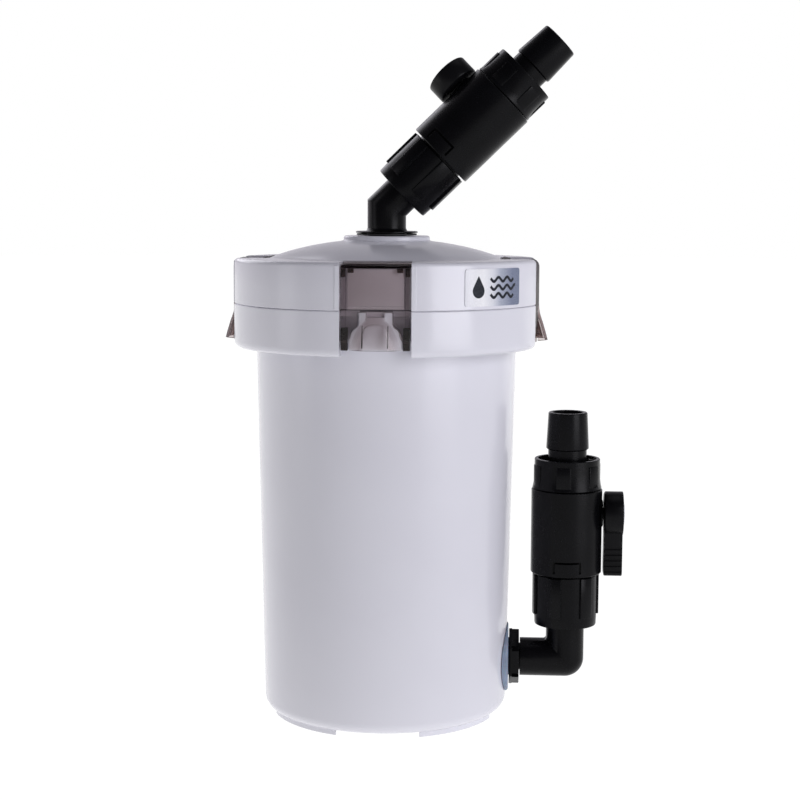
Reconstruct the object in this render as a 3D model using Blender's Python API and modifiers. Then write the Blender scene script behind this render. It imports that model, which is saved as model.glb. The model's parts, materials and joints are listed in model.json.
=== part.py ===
"""Small external canister filter: a round canister with a clamp-down lid, four
over-rim latches, a swivelling outlet elbow on top and an inlet elbow low on one
side, each elbow carrying a quick-release ball valve with a hose tail.

Lengths are in millimetres, turned into metres by MM, and heights are measured
from the floor. The datum empty then lowers the whole model by the height of its
feet, so that the origin is the centre of the base's flat underside. +Z is up,
the front is towards -Y and the inlet is towards +X.

In names, _R is a radius, _Z a height, _H a vertical size and _HALF half a width.
Cutters reach past the faces they open, so their outer limits are only generous.
"""

import math

import bmesh
import bpy
from mathutils import Matrix, Vector

for old in list(bpy.data.objects):
    bpy.data.objects.remove(old, do_unlink=True)

MM = 0.001
GAP = 0.3  # clearance between neighbouring pieces

# Segments round a full turn
ROUND = 32  # large shells
MEDIUM = 20  # nuts, valve bodies, baskets and pads
FINE = 16  # tubes and flanges
COARSE = 12  # rings and small bores

# ---------------------------------------------------------------- shared dimensions
WALL = 2.4
PARTING_Z = 176.8  # top of the canister's collar, where the lid meets it
COLLAR_R = 65.0
COLLAR_INNER_R = COLLAR_R - WALL
BARREL_TOP_R = 55.81
BARREL_DRAFT = 0.0207  # radius lost per millimetre down
BARREL_EDGE_Z = 7.4  # foot of the tapered side
FOOT_H = 2.0

LATCH_DIRECTIONS = (("front", 0), ("right", 1), ("back", 2), ("left", 3))
LATCH_HALF = 13.65
POCKET_HALF = 14.2
PIVOT_R = 50.4
PIVOT_Z = 194.6
PIN_BORE_R = 1.1

TUBE_R = 8.2
BORE_R = 6.2
PORT_R = 8.6  # holes and gaskets that an elbow or fitting passes through
THREAD_R = 8.5
END_FLANGE_R = 11.2
END_FLANGE_H = 3.1
NUT_OVERLAP = 6.0  # how far an elbow's end goes into the union nut
OUTLET_BEND_Z = 217.0
OUTLET_TILT = math.radians(46)
OUTLET_NUT_FROM_BEND = 8.7
OUTLET_ROLL = math.radians(-14.7)  # turn of the upper valve about its own axis
INLET_Z = 23.1
INLET_VALVE_X = 78.0
INLET_NUT_Z = 38.3


def barrel_radius(z):
    return BARREL_TOP_R - BARREL_DRAFT * (PARTING_Z - z)


# ---------------------------------------------------------------- collections
def collection(name):
    made = bpy.data.collections.new(name)
    bpy.context.scene.collection.children.link(made)
    return made


PARTS = collection("canister_filter")
CUTTERS = collection("canister_filter_cutters")


# ---------------------------------------------------------------- materials
def material(name, colour, roughness, metallic=0.0, transmission=0.0):
    made = bpy.data.materials.new(name)
    made.use_nodes = True
    shader = made.node_tree.nodes["Principled BSDF"]
    shader.inputs["Base Color"].default_value = (*colour, 1.0)
    shader.inputs["Roughness"].default_value = roughness
    shader.inputs["Metallic"].default_value = metallic
    shader.inputs["Transmission Weight"].default_value = transmission
    made.diffuse_color = (*colour, 1.0)
    return made


WHITE = material("white_abs", (0.80, 0.79, 0.84), roughness=0.22)
BLACK = material("black_pp", (0.022, 0.022, 0.025), roughness=0.42)
SMOKE = material("smoke_polycarbonate", (0.32, 0.26, 0.25), roughness=0.12, transmission=0.6)
RUBBER = material("black_rubber", (0.015, 0.015, 0.016), roughness=0.65)
CLEAR_RUBBER = material("blue_grey_silicone", (0.42, 0.50, 0.60), roughness=0.35)
STEEL = material("stainless_steel", (0.62, 0.61, 0.60), roughness=0.25, metallic=1.0)
FOIL = material("silver_foil", (0.55, 0.60, 0.70), roughness=0.3, metallic=0.6)
PTFE = material("ptfe", (0.86, 0.86, 0.84), roughness=0.4)
CAP_GREY = material("cap_grey", (0.62, 0.62, 0.66), roughness=0.35)
BASKET_GREY = material("basket_grey", (0.30, 0.31, 0.33), roughness=0.45)
SPONGE = material("blue_sponge", (0.05, 0.16, 0.40), roughness=0.95)
FLOSS = material("white_floss", (0.88, 0.89, 0.88), roughness=0.95)
NET = material("ceramic_in_net", (0.72, 0.62, 0.50), roughness=0.85)
CARBON = material("carbon_in_net", (0.03, 0.03, 0.03), roughness=0.75)


# ---------------------------------------------------------------- matrices
Z_TO_X = Matrix.Rotation(math.radians(90), 4, "Y")

# These turn a slab, whose outline is drawn in (x, y) and thickened along z.
FRONT = Matrix(((1, 0, 0), (0, 0, -1), (0, 1, 0))).to_4x4()  # to (x, z), thick along -Y
SIDE = Matrix(((0, 0, -1), (-1, 0, 0), (0, 1, 0))).to_4x4()  # to (-y, z), thick along -X
ACROSS = Matrix(((0, 0, 1), (1, 0, 0), (0, 1, 0))).to_4x4()  # to (y, z), thick along +X


def at(x, y, z):
    return Matrix.Translation((x * MM, y * MM, z * MM))


def about_z(angle):
    return Matrix.Rotation(angle, 4, "Z")


def quarter(k):
    """Exact quarter turns about Z."""
    cosine, sine = ((1, 0), (0, 1), (-1, 0), (0, -1))[k]
    return Matrix(((cosine, -sine, 0, 0), (sine, cosine, 0, 0), (0, 0, 1, 0), (0, 0, 0, 1)))


# ---------------------------------------------------------------- modelling tools
def helper(name, mesh):
    """A cutter or a shape to be joined on: kept out of the render."""
    obj = bpy.data.objects.new(name, mesh)
    CUTTERS.objects.link(obj)
    obj.hide_render = True
    obj.display_type = "WIRE"
    return obj


def to_mesh(name, shape):
    """Writes a bmesh into a new mesh and frees it."""
    mesh = bpy.data.meshes.new(name)
    shape.to_mesh(mesh)
    shape.free()
    return mesh


def evaluated_mesh(obj):
    bpy.context.view_layer.update()
    graph = bpy.context.evaluated_depsgraph_get()
    return bpy.data.meshes.new_from_object(obj.evaluated_get(graph))


def bake(obj):
    """Replaces the mesh with what the modifiers make of it."""
    mesh = evaluated_mesh(obj)
    obj.modifiers.clear()
    obj.data = mesh


def tidy(obj, distance=1e-7):
    shape = bmesh.new()
    shape.from_mesh(obj.data)
    bmesh.ops.remove_doubles(shape, verts=shape.verts, dist=distance)
    bmesh.ops.dissolve_degenerate(shape, edges=shape.edges, dist=distance)
    bmesh.ops.recalc_face_normals(shape, faces=shape.faces)
    shape.to_mesh(obj.data)
    shape.free()
    return obj


def moved(obj, matrix):
    obj.data.transform(matrix)
    return obj


def turned(name, profile, steps, axis="Z"):
    """A profile of (radius, height) pairs, listed down its outer side, turned
    about Z. A profile that never meets the axis is closed into a ring. With
    axis "X" the heights then run along +X."""
    points = [(radius * MM, 0.0, z * MM) for radius, z in profile]
    edges = [(i, i + 1) for i in range(len(points) - 1)]
    if profile[0][0] > 0 and profile[-1][0] > 0:
        edges.append((len(points) - 1, 0))
    mesh = bpy.data.meshes.new(name)
    mesh.from_pydata(points, edges, [])
    obj = helper(name, mesh)
    screw = obj.modifiers.new("Turn", "SCREW")
    screw.steps = screw.render_steps = steps
    screw.use_merge_vertices = True
    screw.merge_threshold = 1e-6
    bake(obj)
    tidy(obj)
    if axis == "X":
        moved(obj, Z_TO_X)
    return obj


def tube(name, outer, inner, low, high, steps, axis="Z"):
    profile = [(outer, high), (outer, low), (inner, low), (inner, high)]
    return turned(name, profile, steps, axis)


def rod(name, radius, low, high, steps, axis="Z", centre=(0, 0, 0)):
    shape = bmesh.new()
    bmesh.ops.create_cone(
        shape,
        cap_ends=True,
        segments=steps,
        radius1=radius * MM,
        radius2=radius * MM,
        depth=(high - low) * MM,
        matrix=Matrix.Translation((0, 0, (high + low) / 2 * MM)),
    )
    mesh = to_mesh(name, shape)
    if axis == "X":
        mesh.transform(Z_TO_X)
    mesh.transform(Matrix.Translation(Vector(centre) * MM))
    return helper(name, mesh)


def box(name, low, high):
    """A box between two opposite corners."""
    size = [(b - a) * MM for a, b in zip(low, high)]
    middle = [(a + b) / 2 * MM for a, b in zip(low, high)]
    placing = Matrix.Translation(middle) @ Matrix.Diagonal((*size, 1.0))
    shape = bmesh.new()
    bmesh.ops.create_cube(shape, size=1.0, matrix=placing)
    return helper(name, to_mesh(name, shape))


def wedge(name, top, bottom):
    """A cube whose upper and lower faces are each moved to
    (half_width, y_near, z_near, y_far, z_far)."""
    obj = box(name, (-1, -1, -1), (1, 1, 1))
    for vertex in obj.data.vertices:
        half, y_near, z_near, y_far, z_far = top if vertex.co.z > 0 else bottom
        near = vertex.co.y < 0
        vertex.co = (
            math.copysign(half, vertex.co.x) * MM,
            (y_near if near else y_far) * MM,
            (z_near if near else z_far) * MM,
        )
    return obj


def slab(name, outline, low, high, turn=None):
    """A flat outline in (x, y) filling z from low to high, then turned."""
    curve = bpy.data.curves.new(name, "CURVE")
    curve.dimensions = "2D"
    curve.fill_mode = "BOTH"
    curve.extrude = (high - low) / 2 * MM
    line = curve.splines.new("POLY")
    line.points.add(len(outline) - 1)
    for point, (x, y) in zip(line.points, outline):
        point.co = (x * MM, y * MM, 0, 1)
    line.use_cyclic_u = True
    drawn = bpy.data.objects.new(name + "_outline", curve)
    CUTTERS.objects.link(drawn)
    mesh = evaluated_mesh(drawn)
    bpy.data.objects.remove(drawn)
    mesh.transform(Matrix.Translation((0, 0, (high + low) / 2 * MM)))
    if turn is not None:
        mesh.transform(turn)
    return tidy(helper(name, mesh))


def with_mirror(points):
    """An outline followed by its mirror image in x, walked back."""
    return points + [(-x, y) for x, y in reversed(points)]


def span(side, inner, outer):
    """Low and high x of something between two distances, on one side (-1 or 1)."""
    return sorted((side * inner, side * outer))


def hexagon(radius, first_angle):
    angles = [math.radians(first_angle + 60 * k) for k in range(6)]
    return [(radius * math.cos(angle), radius * math.sin(angle)) for angle in angles]


def combine(target, how, *tools):
    for tool in tools:
        change = target.modifiers.new("Combine", "BOOLEAN")
        change.operation = how
        change.solver = "EXACT"
        change.object = tool
        bake(target)
        tidy(target, 1e-6)
        bpy.data.objects.remove(tool)
    return target


def cut(target, *tools):
    return combine(target, "DIFFERENCE", *tools)


def join(target, *tools):
    return combine(target, "UNION", *tools)


def copies(obj, turns):
    """One mesh holding the shape at each of the turns about Z."""
    shape = bmesh.new()
    for turn in turns:
        mesh = obj.data.copy()
        mesh.transform(about_z(turn))
        shape.from_mesh(mesh)
        bpy.data.meshes.remove(mesh)
    obj.data = to_mesh(obj.name, shape)
    return obj


def at_quarters(build):
    """The four helpers that build() makes, one for each latch direction."""
    return [moved(build(), quarter(k)) for _, k in LATCH_DIRECTIONS]


def cut_into_quarters(ring, half_gap, low, high):
    """Leaves four arcs of a ring, with gaps across the X and Y axes."""
    return cut(
        ring,
        box("gap_x", (-60, -half_gap, low), (60, half_gap, high)),
        box("gap_y", (-half_gap, -60, low), (half_gap, 60, high)),
    )


def mitred_tube(name, path, radius, steps):
    """A round bar along straight runs, each bend cut on the plane that halves
    it. Each ring of points is the last one carried along its run."""
    points = [Vector(p) * MM for p in path]
    runs = [(b - a).normalized() for a, b in zip(points, points[1:])]
    side = runs[0].orthogonal().normalized()
    other = runs[0].cross(side)
    angles = [2 * math.pi * k / steps for k in range(steps)]
    rings = [
        [
            points[0] + radius * MM * (math.cos(angle) * side + math.sin(angle) * other)
            for angle in angles
        ]
    ]
    for i, run in enumerate(runs):
        after = runs[i + 1] if i + 1 < len(runs) else run
        normal = (run + after).normalized()
        end = points[i + 1]
        rings.append(
            [p + run * ((end - p).dot(normal) / run.dot(normal)) for p in rings[-1]]
        )
    shape = bmesh.new()
    loops = [[shape.verts.new(p) for p in ring] for ring in rings]
    for lower, upper in zip(loops, loops[1:]):
        for k in range(steps):
            following = (k + 1) % steps
            shape.faces.new((lower[k], lower[following], upper[following], upper[k]))
    shape.faces.new(loops[0])
    shape.faces.new(loops[-1])
    bmesh.ops.recalc_face_normals(shape, faces=shape.faces)
    return helper(name, to_mesh(name, shape))


# ---------------------------------------------------------------- parts and empties
def finished(obj, name, finish, matrix=None, parent=None):
    """Makes a shape into a part: its own name and finish, smooth where round.
    The mesh is held about the origin of the given matrix."""
    obj.name = name
    obj.hide_render = False
    obj.display_type = "TEXTURED"
    CUTTERS.objects.unlink(obj)
    PARTS.objects.link(obj)
    obj.data.materials.clear()  # drops any empty slots left by the booleans
    obj.data.materials.append(finish)
    obj.data.name = name
    obj.data.shade_smooth()
    obj.data.set_sharp_from_angle(angle=math.radians(32))
    if parent is not None:
        obj.parent = parent
    if matrix is not None:
        moved(obj, matrix.inverted())
        obj.matrix_local = matrix
    return obj


def copy_part(source, name, matrix, parent=None):
    """Another object with the same mesh."""
    obj = bpy.data.objects.new(name, source.data)
    PARTS.objects.link(obj)
    obj.parent = parent
    obj.matrix_local = matrix


def empty(name, matrix, parent=None):
    obj = bpy.data.objects.new(name, None)
    obj.empty_display_size = 0.01
    PARTS.objects.link(obj)
    obj.parent = parent
    obj.matrix_local = matrix
    return obj


# ---------------------------------------------------------------- canister
SPIGOT_R = 55.6  # raised rim that goes up inside the lid
SPIGOT_TOP_Z = 181.0
COLLAR_BOTTOM_Z = 158.5
COLLAR_ROOT_Z = 174.4  # underside of the collar where it meets the barrel
FLOOR_Z = FOOT_H + 2.6
FOOT_R = 49.0
FOOT_INNER_R = 46.4
FOOT_GAP_HALF = FOOT_R * math.sin(math.radians(20.7))

# (distance towards -Y, z) of a pocket's side wall
POCKET_WALL = [
    (53.0, 158.8), (60.6, 158.8), (61.6, 159.6), (62.3, 161.0), (62.3, 175.6), (53.0, 175.6),
]
# (distance towards -Y, z) of a ledge that a claw catches
LEDGE = [(55.0, 164.5), (60.1, 164.5), (61.2, 164.9), (61.2, 165.3), (55.0, 165.3)]
# (x, z) up the +X side of the boss behind the finger tab
BOSS_SIDE = [
    (10.5, 161.4), (10.5, 165.6), (9.9, 167.7), (8.6, 169.6), (7.2, 170.6),
    (6.6, 171.6), (6.6, 176.5),
]


def barrel_shell():
    edge_r = barrel_radius(BARREL_EDGE_Z)
    inside = [(0, FLOOR_Z), (46.6, FLOOR_Z)]
    inside += [(barrel_radius(z) - WALL, z) for z in (8.6, SPIGOT_TOP_Z - 0.6)]
    rim = [(53.8, SPIGOT_TOP_Z), (SPIGOT_R, SPIGOT_TOP_Z), (SPIGOT_R, PARTING_Z)]
    collar = [(COLLAR_R, PARTING_Z), (COLLAR_R, 161.6), (64.3, 159.7)]
    collar += [(COLLAR_INNER_R, COLLAR_BOTTOM_Z), (62.4, COLLAR_ROOT_Z)]
    outside = [(barrel_radius(COLLAR_ROOT_Z), COLLAR_ROOT_Z), (edge_r, BARREL_EDGE_Z)]
    outside += [(edge_r - 1.5, 3.7), (edge_r - 5.0, FOOT_H), (0, FOOT_H)]
    return turned("canister", inside + rim + collar + outside, ROUND)


def feet():
    ring = tube("feet", FOOT_R, FOOT_INNER_R, 0.0, FOOT_H + 1.4, ROUND)
    moved(ring, about_z(math.pi / ROUND))
    return cut_into_quarters(ring, FOOT_GAP_HALF, -5, 10)


def pocket_opening():
    return box("opening", (-POCKET_HALF, -70, 150.0), (POCKET_HALF, -56.6, 185))


def pocket():
    """The two side walls of a latch pocket, which is open at its foot, with the
    ledges that the claws catch."""
    frame = slab("pocket", POCKET_WALL, -POCKET_HALF - 2, POCKET_HALF + 2, SIDE)
    cut(frame, box("inside", (-POCKET_HALF, -80, 150.0), (POCKET_HALF, -40, 185)))
    for side in (-1, 1):
        low, high = span(side, 11.9, POCKET_HALF + 0.8)
        join(frame, slab("ledge", LEDGE, low, high, SIDE))
    return frame


def pocket_boss():
    """Fills the cut-out of the latch behind its finger tab."""
    shape = slab("boss", with_mirror(BOSS_SIDE), 54.6, 61.9, FRONT)
    return cut(shape, box("notch", (-3.5, -70, 174.4), (3.5, -60.6, 180)))


def make_canister():
    barrel = join(barrel_shell(), feet())
    cut(barrel, *at_quarters(pocket_opening))
    join(barrel, *at_quarters(pocket))
    join(barrel, *at_quarters(pocket_boss))
    cut(barrel, rod("inlet_hole", PORT_R, 44, 60, FINE, "X", (0, 0, INLET_Z)))
    finished(barrel, "canister_barrel", WHITE)


# ---------------------------------------------------------------- lid
LID_BOTTOM_Z = PARTING_Z + GAP
LID_RIM_Z = 195.9
HUB_R = 18.3
HUB_TOP_Z = 205.2
TROUGH_R = 1.95  # rounded seat for a latch's knuckle
PIN_HOLE_HALF = 16.9

# (radius, z) outwards down the dome
DOME = [(20.0, 202.8), (30.0, 201.4), (39.0, 199.3), (48.0, 196.5)]
# (radius, z) from the skirt inwards over the seal channel and the underside
LID_INSIDE = [
    (COLLAR_INNER_R, 193.4), (57.6, 193.4), (57.6, 177.5), (56.0, 177.5), (56.0, 184.6),
    (52.8, 184.6), (52.8, 178.4), (51.0, 178.4), (51.0, 189.0),
    (47.2, 194.2), (36.3, 197.4), (19.5, 200.2), (PORT_R, 200.2),
]
# (radius, z) of the diamond-shaped seal section
SEAL_SECTION = [(54.4, 184.2), (55.75, 182.8), (54.4, 181.35), (53.1, 182.8)]


def lid_shell():
    profile = [(PORT_R, HUB_TOP_Z), (HUB_R, HUB_TOP_Z), (HUB_R, 203.0)] + DOME
    profile += [(49.2, LID_RIM_Z), (63.2, LID_RIM_Z), (COLLAR_R, 194.1)]
    profile += [(COLLAR_R, LID_BOTTOM_Z), (COLLAR_INNER_R, LID_BOTTOM_Z)] + LID_INSIDE
    return turned("lid", profile, ROUND)


def latch_backing():
    """Solid behind a latch, with a block that holds its hinge pin."""
    plate = box("backing", (-16.2, -63.2, 177.4), (16.2, -56.6, 194.8))
    return join(plate, box("hinge_block", (-18.0, -58.0, 190.0), (18.0, -46.0, 195.2)))


def latch_recess():
    """The space that a latch, its leg and its pin take out of the lid."""
    half = POCKET_HALF
    step = with_mirror([(-half, -58.6), (-11.3, -58.6), (-11.3, -61.3)])
    step += [(half, -80), (-half, -80)]
    pivot = (0, -PIVOT_R, PIVOT_Z)
    return join(
        slab("recess", step, 170, 210),
        box("slot", (-half, -80, 193.35), (half, -PIVOT_R + TROUGH_R, 210)),
        rod("trough", TROUGH_R, -half, half, FINE, "X", pivot),
        rod("pin_hole", PIN_BORE_R, -PIN_HOLE_HALF, PIN_HOLE_HALF, COARSE, "X", pivot),
    )


def make_lid():
    lid = lid_shell()
    join(lid, *at_quarters(latch_backing))
    cut(lid, *at_quarters(latch_recess))
    finished(lid, "lid_cover", WHITE)


def make_seal_ring():
    finished(turned("seal", SEAL_SECTION, ROUND), "lid_seal_ring", RUBBER)


# ---------------------------------------------------------------- latches
LATCH_TOP_Z = 195.6
LATCH_BOTTOM_Z = 161.4
LATCH_ARM_INNER = LATCH_HALF - 2.7  # x of the inner edge of each arm
LATCH_BACK_Y = -63.3  # front faces of the rails and claws, sunk in the plate
PIN_R = 0.78
PIN_HALF = 16.5

# (x, z) up the -X side of the plate's outline and of its cut-out
LATCH_SIDE = [
    (-LATCH_HALF, LATCH_BOTTOM_Z), (-LATCH_ARM_INNER, LATCH_BOTTOM_Z),
    (-LATCH_ARM_INNER, 165.6), (-10.3, 167.6), (-8.9, 169.3), (-7.6, 170.2),
    (-7.0, 171.8), (-7.0, 176.4),
]
# (distance towards -Y, z) of the slot that takes the ledge; its lower lip is
# sloped to hook under it
CLAW_SLOT = [(50, 162.6), (59.3, 162.6), (60.0, 164.1), (61.6, 164.1), (61.6, 165.7), (50, 165.7)]


def latch_plate():
    outline = with_mirror(LATCH_SIDE) + [(LATCH_HALF, 195.4), (-LATCH_HALF, 195.4)]
    plate = slab("latch", outline, 60.0, 67.0, FRONT)
    shell = tube("shell", COLLAR_R, 63.0, 150, 200, ROUND)
    return combine(plate, "INTERSECT", shell)


def latch_leg():
    """The flat top that runs inwards from the plate to the pivot."""
    half = LATCH_HALF
    outline = [(-half, -PIVOT_R), (-half, -64.0), (half, -64.0), (half, -PIVOT_R)]
    leg = slab("leg", outline, 193.7, LATCH_TOP_Z)
    return combine(leg, "INTERSECT", rod("rim", 64.6, 180, 210, ROUND))


def latch_rail_and_claw(side):
    bottom_z = LATCH_BOTTOM_Z + 0.05
    low, high = span(side, 11.75, LATCH_HALF - 0.05)
    rail = box("rail", (low, LATCH_BACK_Y, bottom_z), (high, -61.2, 194.2))
    low, high = span(side, LATCH_ARM_INNER + 0.05, LATCH_HALF - 0.05)
    claw = box("claw", (low, LATCH_BACK_Y, bottom_z), (high, -59.3, 170.2))
    cut(claw, slab("slot", CLAW_SLOT, -20, 20, SIDE))
    return rail, claw


def latch_tab():
    """The finger tab, hollow behind, which flares towards its foot."""
    tab = wedge(
        "tab",
        top=(4.0, -65.4, 172.9, -63.3, 172.9),
        bottom=(10.0, -68.8, 161.9, -64.5, 161.45),
    )
    hood = wedge(
        "hood",
        top=(3.0, -65.2, 170.6, -58.0, 170.6),
        bottom=(8.8, -67.9, 158.0, -58.0, 158.0),
    )
    return cut(tab, hood)


def make_latches():
    centre = (0, -PIVOT_R, PIVOT_Z)
    latch = join(latch_plate(), latch_leg())
    join(latch, rod("knuckle", 1.55, -LATCH_HALF, LATCH_HALF, FINE, "X", centre))
    for side in (-1, 1):
        join(latch, *latch_rail_and_claw(side))
    neck = box("neck", (-3.6, -65.2, 171.9), (3.6, -63.1, 177.9))
    join(latch, neck, latch_tab())
    cut(latch, rod("pin_bore", PIN_BORE_R, -20, 20, COARSE, "X", centre))
    pin = rod("pin", PIN_R, -PIN_HALF, PIN_HALF, COARSE, "X", centre)

    for name, k in LATCH_DIRECTIONS:
        pivot = quarter(k) @ at(*centre)
        if k == 0:
            finished(latch, f"latch_{name}", SMOKE, pivot)
            finished(pin, f"latch_pin_{name}", STEEL, pivot)
        else:
            copy_part(latch, f"latch_{name}", pivot)
            copy_part(pin, f"latch_pin_{name}", pivot)


# ---------------------------------------------------------------- name plate
PLATE_R = COLLAR_R + GAP
PLATE_TOP_Z = 193.2
PLATE_BOTTOM_Z = 178.3
PLATE_THICKNESS = 0.4
PLATE_ANGLE = math.radians(27.2)
PLATE_START = math.radians(-90 + 32.4)


def make_plate():
    """A curved plate on the lid between the front and the right-hand latch."""
    mesh = bpy.data.meshes.new("plate")
    ends = [(PLATE_R * MM, 0, z * MM) for z in (PLATE_TOP_Z, PLATE_BOTTOM_Z)]
    mesh.from_pydata(ends, [(0, 1)], [])
    obj = helper("plate", mesh)
    screw = obj.modifiers.new("Turn", "SCREW")
    screw.angle = PLATE_ANGLE
    screw.steps = screw.render_steps = 8
    solid = obj.modifiers.new("Thickness", "SOLIDIFY")
    solid.thickness = PLATE_THICKNESS * MM
    solid.offset = 1.0
    bake(obj)
    tidy(obj)
    finished(moved(obj, about_z(PLATE_START)), "lid_badge", FOIL)


# ---------------------------------------------------------------- valve pieces
# Each is built about the valve's own axis: +Z along the valve towards the hose,
# origin at the bottom of the union nut, knob towards +X.
NUT_R = 13.4
PANEL_R = 14.3
VALVE_BODY_R = 15.2
BALL_Z = 48.4
BALL_CENTRE = (0, 0, BALL_Z)
BALL_R = 8.4
BALL_BORE_R = 5.2
STEM_R = 2.25
STEM_BORE_R = 2.65
CAP_R = 6.2
LEVER_END = -26.5  # from the knob's axis
PANEL_COUNT = 6
PANEL_HALF_ANGLE = 12.5  # degrees

# Profiles of (radius, z)
NUT_PROFILE = [(0, 22.1), (NUT_R, 22.1), (NUT_R, 4.0), (13.2, 0), (0, 0)]
NUT_BORE = [(0, 30), (11.8, 30), (11.8, 2.6), (8.7, 2.6), (8.7, -5), (0, -5)]
BODY_PROFILE = [
    (9.4, 62.4), (11.6, 62.4), (11.6, 59.0), (VALVE_BODY_R, 59.0), (VALVE_BODY_R, 22.8),
    (11.4, 22.8), (11.4, 7.2), (6.0, 7.2), (6.0, 37.0), (9.4, 37.0),
]
SEAT_TOP_Z = BALL_Z - 6.7
LOWER_SEAT = [
    (5.9, SEAT_TOP_Z), (8.4, SEAT_TOP_Z + 2.5), (9.1, SEAT_TOP_Z + 2.5), (9.1, 37.3), (5.9, 37.3),
]
UPPER_SEAT = [(radius, 2 * BALL_Z - z) for radius, z in reversed(LOWER_SEAT)]
RING_PROFILE = [
    (12.5, 72.2), (14.0, 72.2), (14.0, 61.2), (14.7, 59.8), (14.7, 59.3),
    (12.0, 59.3), (12.0, 65.2), (8.7, 65.2), (8.7, 66.6), (12.5, 66.6),
]
TAIL_PROFILE = [
    (6.5, 92.1), (8.35, 92.1), (9.15, 76.3), (8.25, 76.1), (8.25, 64.9), (11.2, 64.9),
    (11.2, 62.8), (9.1, 62.8), (9.1, 59.8), (6.0, 59.8),
]
# Profiles of (radius, distance along +X)
KNOB_PROFILE = [(0, 24.1), (8.9, 24.1), (9.5, 23.5), (9.5, 15.8), (0, 15.8)]
CAP_PROFILE = [(0, 24.9), (3.6, 24.75), (CAP_R, 24.2), (CAP_R, 23.6), (0, 23.6)]
# (y, z from the knob's axis) down the -Y side of the lever
LEVER_SIDE = [(-5.6, -3.0), (-5.0, LEVER_END + 1.2), (-3.9, LEVER_END)]


def arc(radius, count):
    """Points across one grip panel."""
    half = PANEL_HALF_ANGLE
    angles = [math.radians(-half + 2 * half * i / count) for i in range(count + 1)]
    return [(radius * math.cos(angle), radius * math.sin(angle)) for angle in angles]


def grip_panels(name, inner, outer, low, high, first_angle):
    outline = arc(inner, 1) + list(reversed(arc(outer, 2)))
    turn = math.radians(first_angle)
    turns = [2 * math.pi * k / PANEL_COUNT + turn for k in range(PANEL_COUNT)]
    return copies(slab(name, outline, low, high), turns)


def union_nut():
    nut = turned("nut", NUT_PROFILE, MEDIUM)
    join(nut, grip_panels("panel", 12.4, PANEL_R, 4.6, 21.9, 8))
    return cut(nut, turned("nut_bore", NUT_BORE, FINE))


def union_washer():
    return tube("washer", 10.4, 7.0, 6.3, 6.9, COARSE)


def valve_body():
    body = turned("body", BODY_PROFILE, MEDIUM)
    join(body, rod("boss", 6.0, 12.6, 15.4, COARSE, "X", BALL_CENTRE))
    return cut(
        body,
        rod("stem_bore", STEM_BORE_R, 6, 20, COARSE, "X", BALL_CENTRE),
        rod("seal_pocket", 3.9, 13.2, 20, COARSE, "X", BALL_CENTRE),
    )


def lower_seat():
    return turned("lower_seat", LOWER_SEAT, COARSE)


def upper_seat():
    return turned("upper_seat", UPPER_SEAT, COARSE)


def stem_seal():
    return moved(tube("stem_seal", 3.5, 2.7, 13.5, 15.0, COARSE, "X"), at(*BALL_CENTRE))


def valve_ball():
    """The bored ball, slotted on its +X side for the stem's tang."""
    shape = bmesh.new()
    bmesh.ops.create_uvsphere(
        shape, u_segments=14, v_segments=8, radius=BALL_R * MM, matrix=at(*BALL_CENTRE)
    )
    low, high = BALL_Z - 12, BALL_Z + 12
    return cut(
        helper("ball", to_mesh("ball", shape)),
        rod("ball_bore", BALL_BORE_R, low, high, 14),
        box("ball_slot", (6.9, -1.4, low), (12, 1.4, high)),
    )


def valve_stem():
    stem = rod("stem", STEM_R, 9.2, 17.6, COARSE, "X", BALL_CENTRE)
    return join(stem, box("tang", (7.2, -1.0, BALL_Z - 2.0), (9.8, 1.0, BALL_Z + 2.0)))


def valve_knob():
    """The knob with its lever, which points towards -Z."""
    knob = moved(turned("knob", KNOB_PROFILE, FINE, "X"), at(*BALL_CENTRE))
    outline = [(y, z + BALL_Z) for y, z in with_mirror(LEVER_SIDE)]
    join(knob, moved(slab("lever", outline, 16.0, 23.9), ACROSS))
    return cut(
        knob,
        rod("stem_socket", STEM_BORE_R, 10, 18.2, COARSE, "X", BALL_CENTRE),
        rod("cap_recess", 6.55, 23.3, 30, COARSE, "X", BALL_CENTRE),
    )


def knob_cap():
    return moved(turned("cap", CAP_PROFILE, COARSE, "X"), at(*BALL_CENTRE))


def lock_ring():
    ring = turned("ring", RING_PROFILE, MEDIUM)
    return join(ring, grip_panels("ring_panel", 13.2, 14.5, 60.4, 69.7, 22))


def hose_tail():
    return turned("tail", TAIL_PROFILE, FINE)


# (name, builder, finish, whether it turns with the knob)
VALVE_PIECES = (
    ("union_nut", union_nut, BLACK, False),
    ("union_washer", union_washer, RUBBER, False),
    ("valve_body", valve_body, BLACK, False),
    ("lower_seat", lower_seat, PTFE, False),
    ("upper_seat", upper_seat, PTFE, False),
    ("stem_seal", stem_seal, RUBBER, False),
    ("ball", valve_ball, WHITE, True),
    ("stem", valve_stem, BLACK, True),
    ("knob", valve_knob, BLACK, True),
    ("knob_cap", knob_cap, CAP_GREY, True),
    ("lock_ring", lock_ring, BLACK, False),
    ("hose_tail", hose_tail, BLACK, False),
)


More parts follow.
